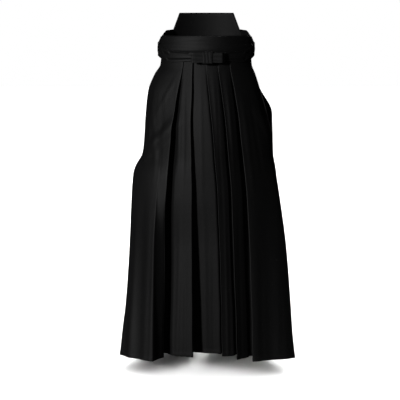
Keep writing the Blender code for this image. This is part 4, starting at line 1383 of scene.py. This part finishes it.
def tie_lines(columns):
    """Stitched lines near a tie's two long edges."""
    lines = []
    last = len(columns) - 1
    for index in (2, -3):
        line = []
        for i, column in enumerate(columns):
            p = column[index]
            way = columns[min(i + 1, last)][index] - columns[max(i - 1, 0)][index]
            n = way.cross(column[index - 1] - column[index + 1]).normalized()
            if n.x * p.x + n.y * p.y < 0:
                n = -n
            line.append((p + n * (TIE_CLOTH / 2), n))
        lines.append(line)
    return lines


def lamp(name):
    """A soft rectangular studio light, aimed at its target."""
    place, target, size, power = LAMPS[name]
    data = bpy.data.lights.new(name, "AREA")
    data.shape = "RECTANGLE"
    data.size, data.size_y = size
    data.energy = power
    obj = in_scene(name, data)
    obj.location = place
    obj.rotation_euler = (Vector(target) - Vector(place)).to_track_quat("-Z", "Y").to_euler()
    return obj


def studio():
    """Pale floor, white surroundings and soft light from the camera's left."""
    mesh = bpy.data.meshes.new("studio_floor")
    corners = [
        (x * FLOOR_REACH, y * FLOOR_REACH, FLOOR) for x, y in ((-1, -1), (1, -1), (1, 1), (-1, 1))
    ]
    mesh.from_pydata(corners, [], [(0, 1, 2, 3)])
    floor = in_scene("studio_floor", mesh)
    mesh.materials.append(floor_finish())
    world = bpy.data.worlds.new("white studio")
    bpy.context.scene.world = world
    world.use_nodes = True
    tree = world.node_tree
    background = tree.nodes["Background"]
    background.inputs["Color"].default_value = (1.0, 1.0, 1.0, 1.0)
    path = tree.nodes.new("ShaderNodeLightPath")
    strength = tree.nodes.new("ShaderNodeMapRange")
    strength.inputs["To Min"].default_value = WORLD_LIGHT
    strength.inputs["To Max"].default_value = 1.0
    tree.links.new(path.outputs["Is Camera Ray"], strength.inputs["Value"])
    tree.links.new(strength.outputs["Result"], background.inputs["Strength"])
    lamps = {name: lamp(name) for name in LAMPS}
    lamps["key light"].data.spread = KEY_SPREAD
    lit = bpy.data.collections.new("lit by the floor light")
    lit.objects.link(floor)
    lamps["floor light"].light_linking.receiver_collection = lit
    floor.visible_diffuse = False
    floor.visible_glossy = False
    bpy.context.scene.view_settings.view_transform = "Standard"


def camera():
    """The photograph's view: frontal, a little above the waist, looking slightly down."""
    data = bpy.data.cameras.new("camera")
    data.lens = SENSOR * FOCAL_PIXELS / PHOTO_PIXELS
    data.sensor_width = SENSOR
    obj = in_scene("camera", data)
    obj.location = CAMERA_PLACE
    obj.rotation_euler = (math.radians(90 - CAMERA_TILT), 0.0, 0.0)
    bpy.context.scene.camera = obj


def main():
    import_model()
    cloths = {slot: cloth_finish(*look) for slot, look in CLOTHS.items()}
    panel_cloth, tie_cloth = cloths["pleated_cloth"], cloths["tie_cloth"]
    thread = thread_finish()
    made = {}
    seams = {}
    for name in PANELS:
        top = BACK_TOP if name.startswith("back") else FRONT_TOP
        obj, rows = panel_piece(name, top, panel_cloth)
        made[name] = (obj, "pleated_cloth")
        seams[name] = hem_lines(name, top, rows) + [slit_line(name, top, rows)]
    for side, word in ((-1, "right"), (1, "left")):
        rows = [gusset_row(side, z) for z in row_heights(CROTCH)]
        name = "gusset_" + word
        mesh = sheet_mesh(name + "_cloth", rows)
        paint(mesh, "pressed", [0.0] * len(mesh.vertices))
        made[name] = (cloth_object(name + "_cloth", mesh, CLOTH, panel_cloth), "pleated_cloth")
    whole = [-a for a in spaced(0.0, math.pi, 110)[:0:-1]] + spaced(0.0, math.pi, 110)[:-1]
    ties = [
        ("front_tie_upper_turn", whole, upper_turn, 1.7, None),
        ("front_tie_lower_turn", whole, lower_turn, 4.1, None),
    ]
    for name, side, seed in (("back_tie_right", -1, 2.6), ("back_tie_left", 1, 6.3)):
        angles = [side * a for a in spaced(BACK_TIE_START, BOARD_CORNER_ANGLE, 120)]
        ties.append((name, angles, back_tie, seed, back_tie_end(side)))
    for name, angles, profile, seed, end in ties:
        obj, columns = tie_piece(name + "_cloth", angles, profile, tie_cloth, seed, end)
        made[name] = (obj, "tie_cloth")
        seams[name] = tie_lines(columns if end else columns + columns[:1])
    made["bow_bar"], made["bow_wrap"] = ((piece, "tie_cloth") for piece in bow_pieces(tie_cloth))
    made["back_board"] = (board_piece(cloths["board_cloth"]), "board_cloth")
    tree = stitch_tree()
    for node, (obj, slot) in made.items():
        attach(obj, "root")
        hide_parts(node)
        sewn = []
        if node in seams:
            sewn = [stitches(node + "_stitches", seams[node], tree, thread)]
            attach(sewn[0], "root")
        node in CUTS
    allowance = seam_allowance(panel_cloth)
    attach(allowance, "root")
    studio()
    camera()


main()
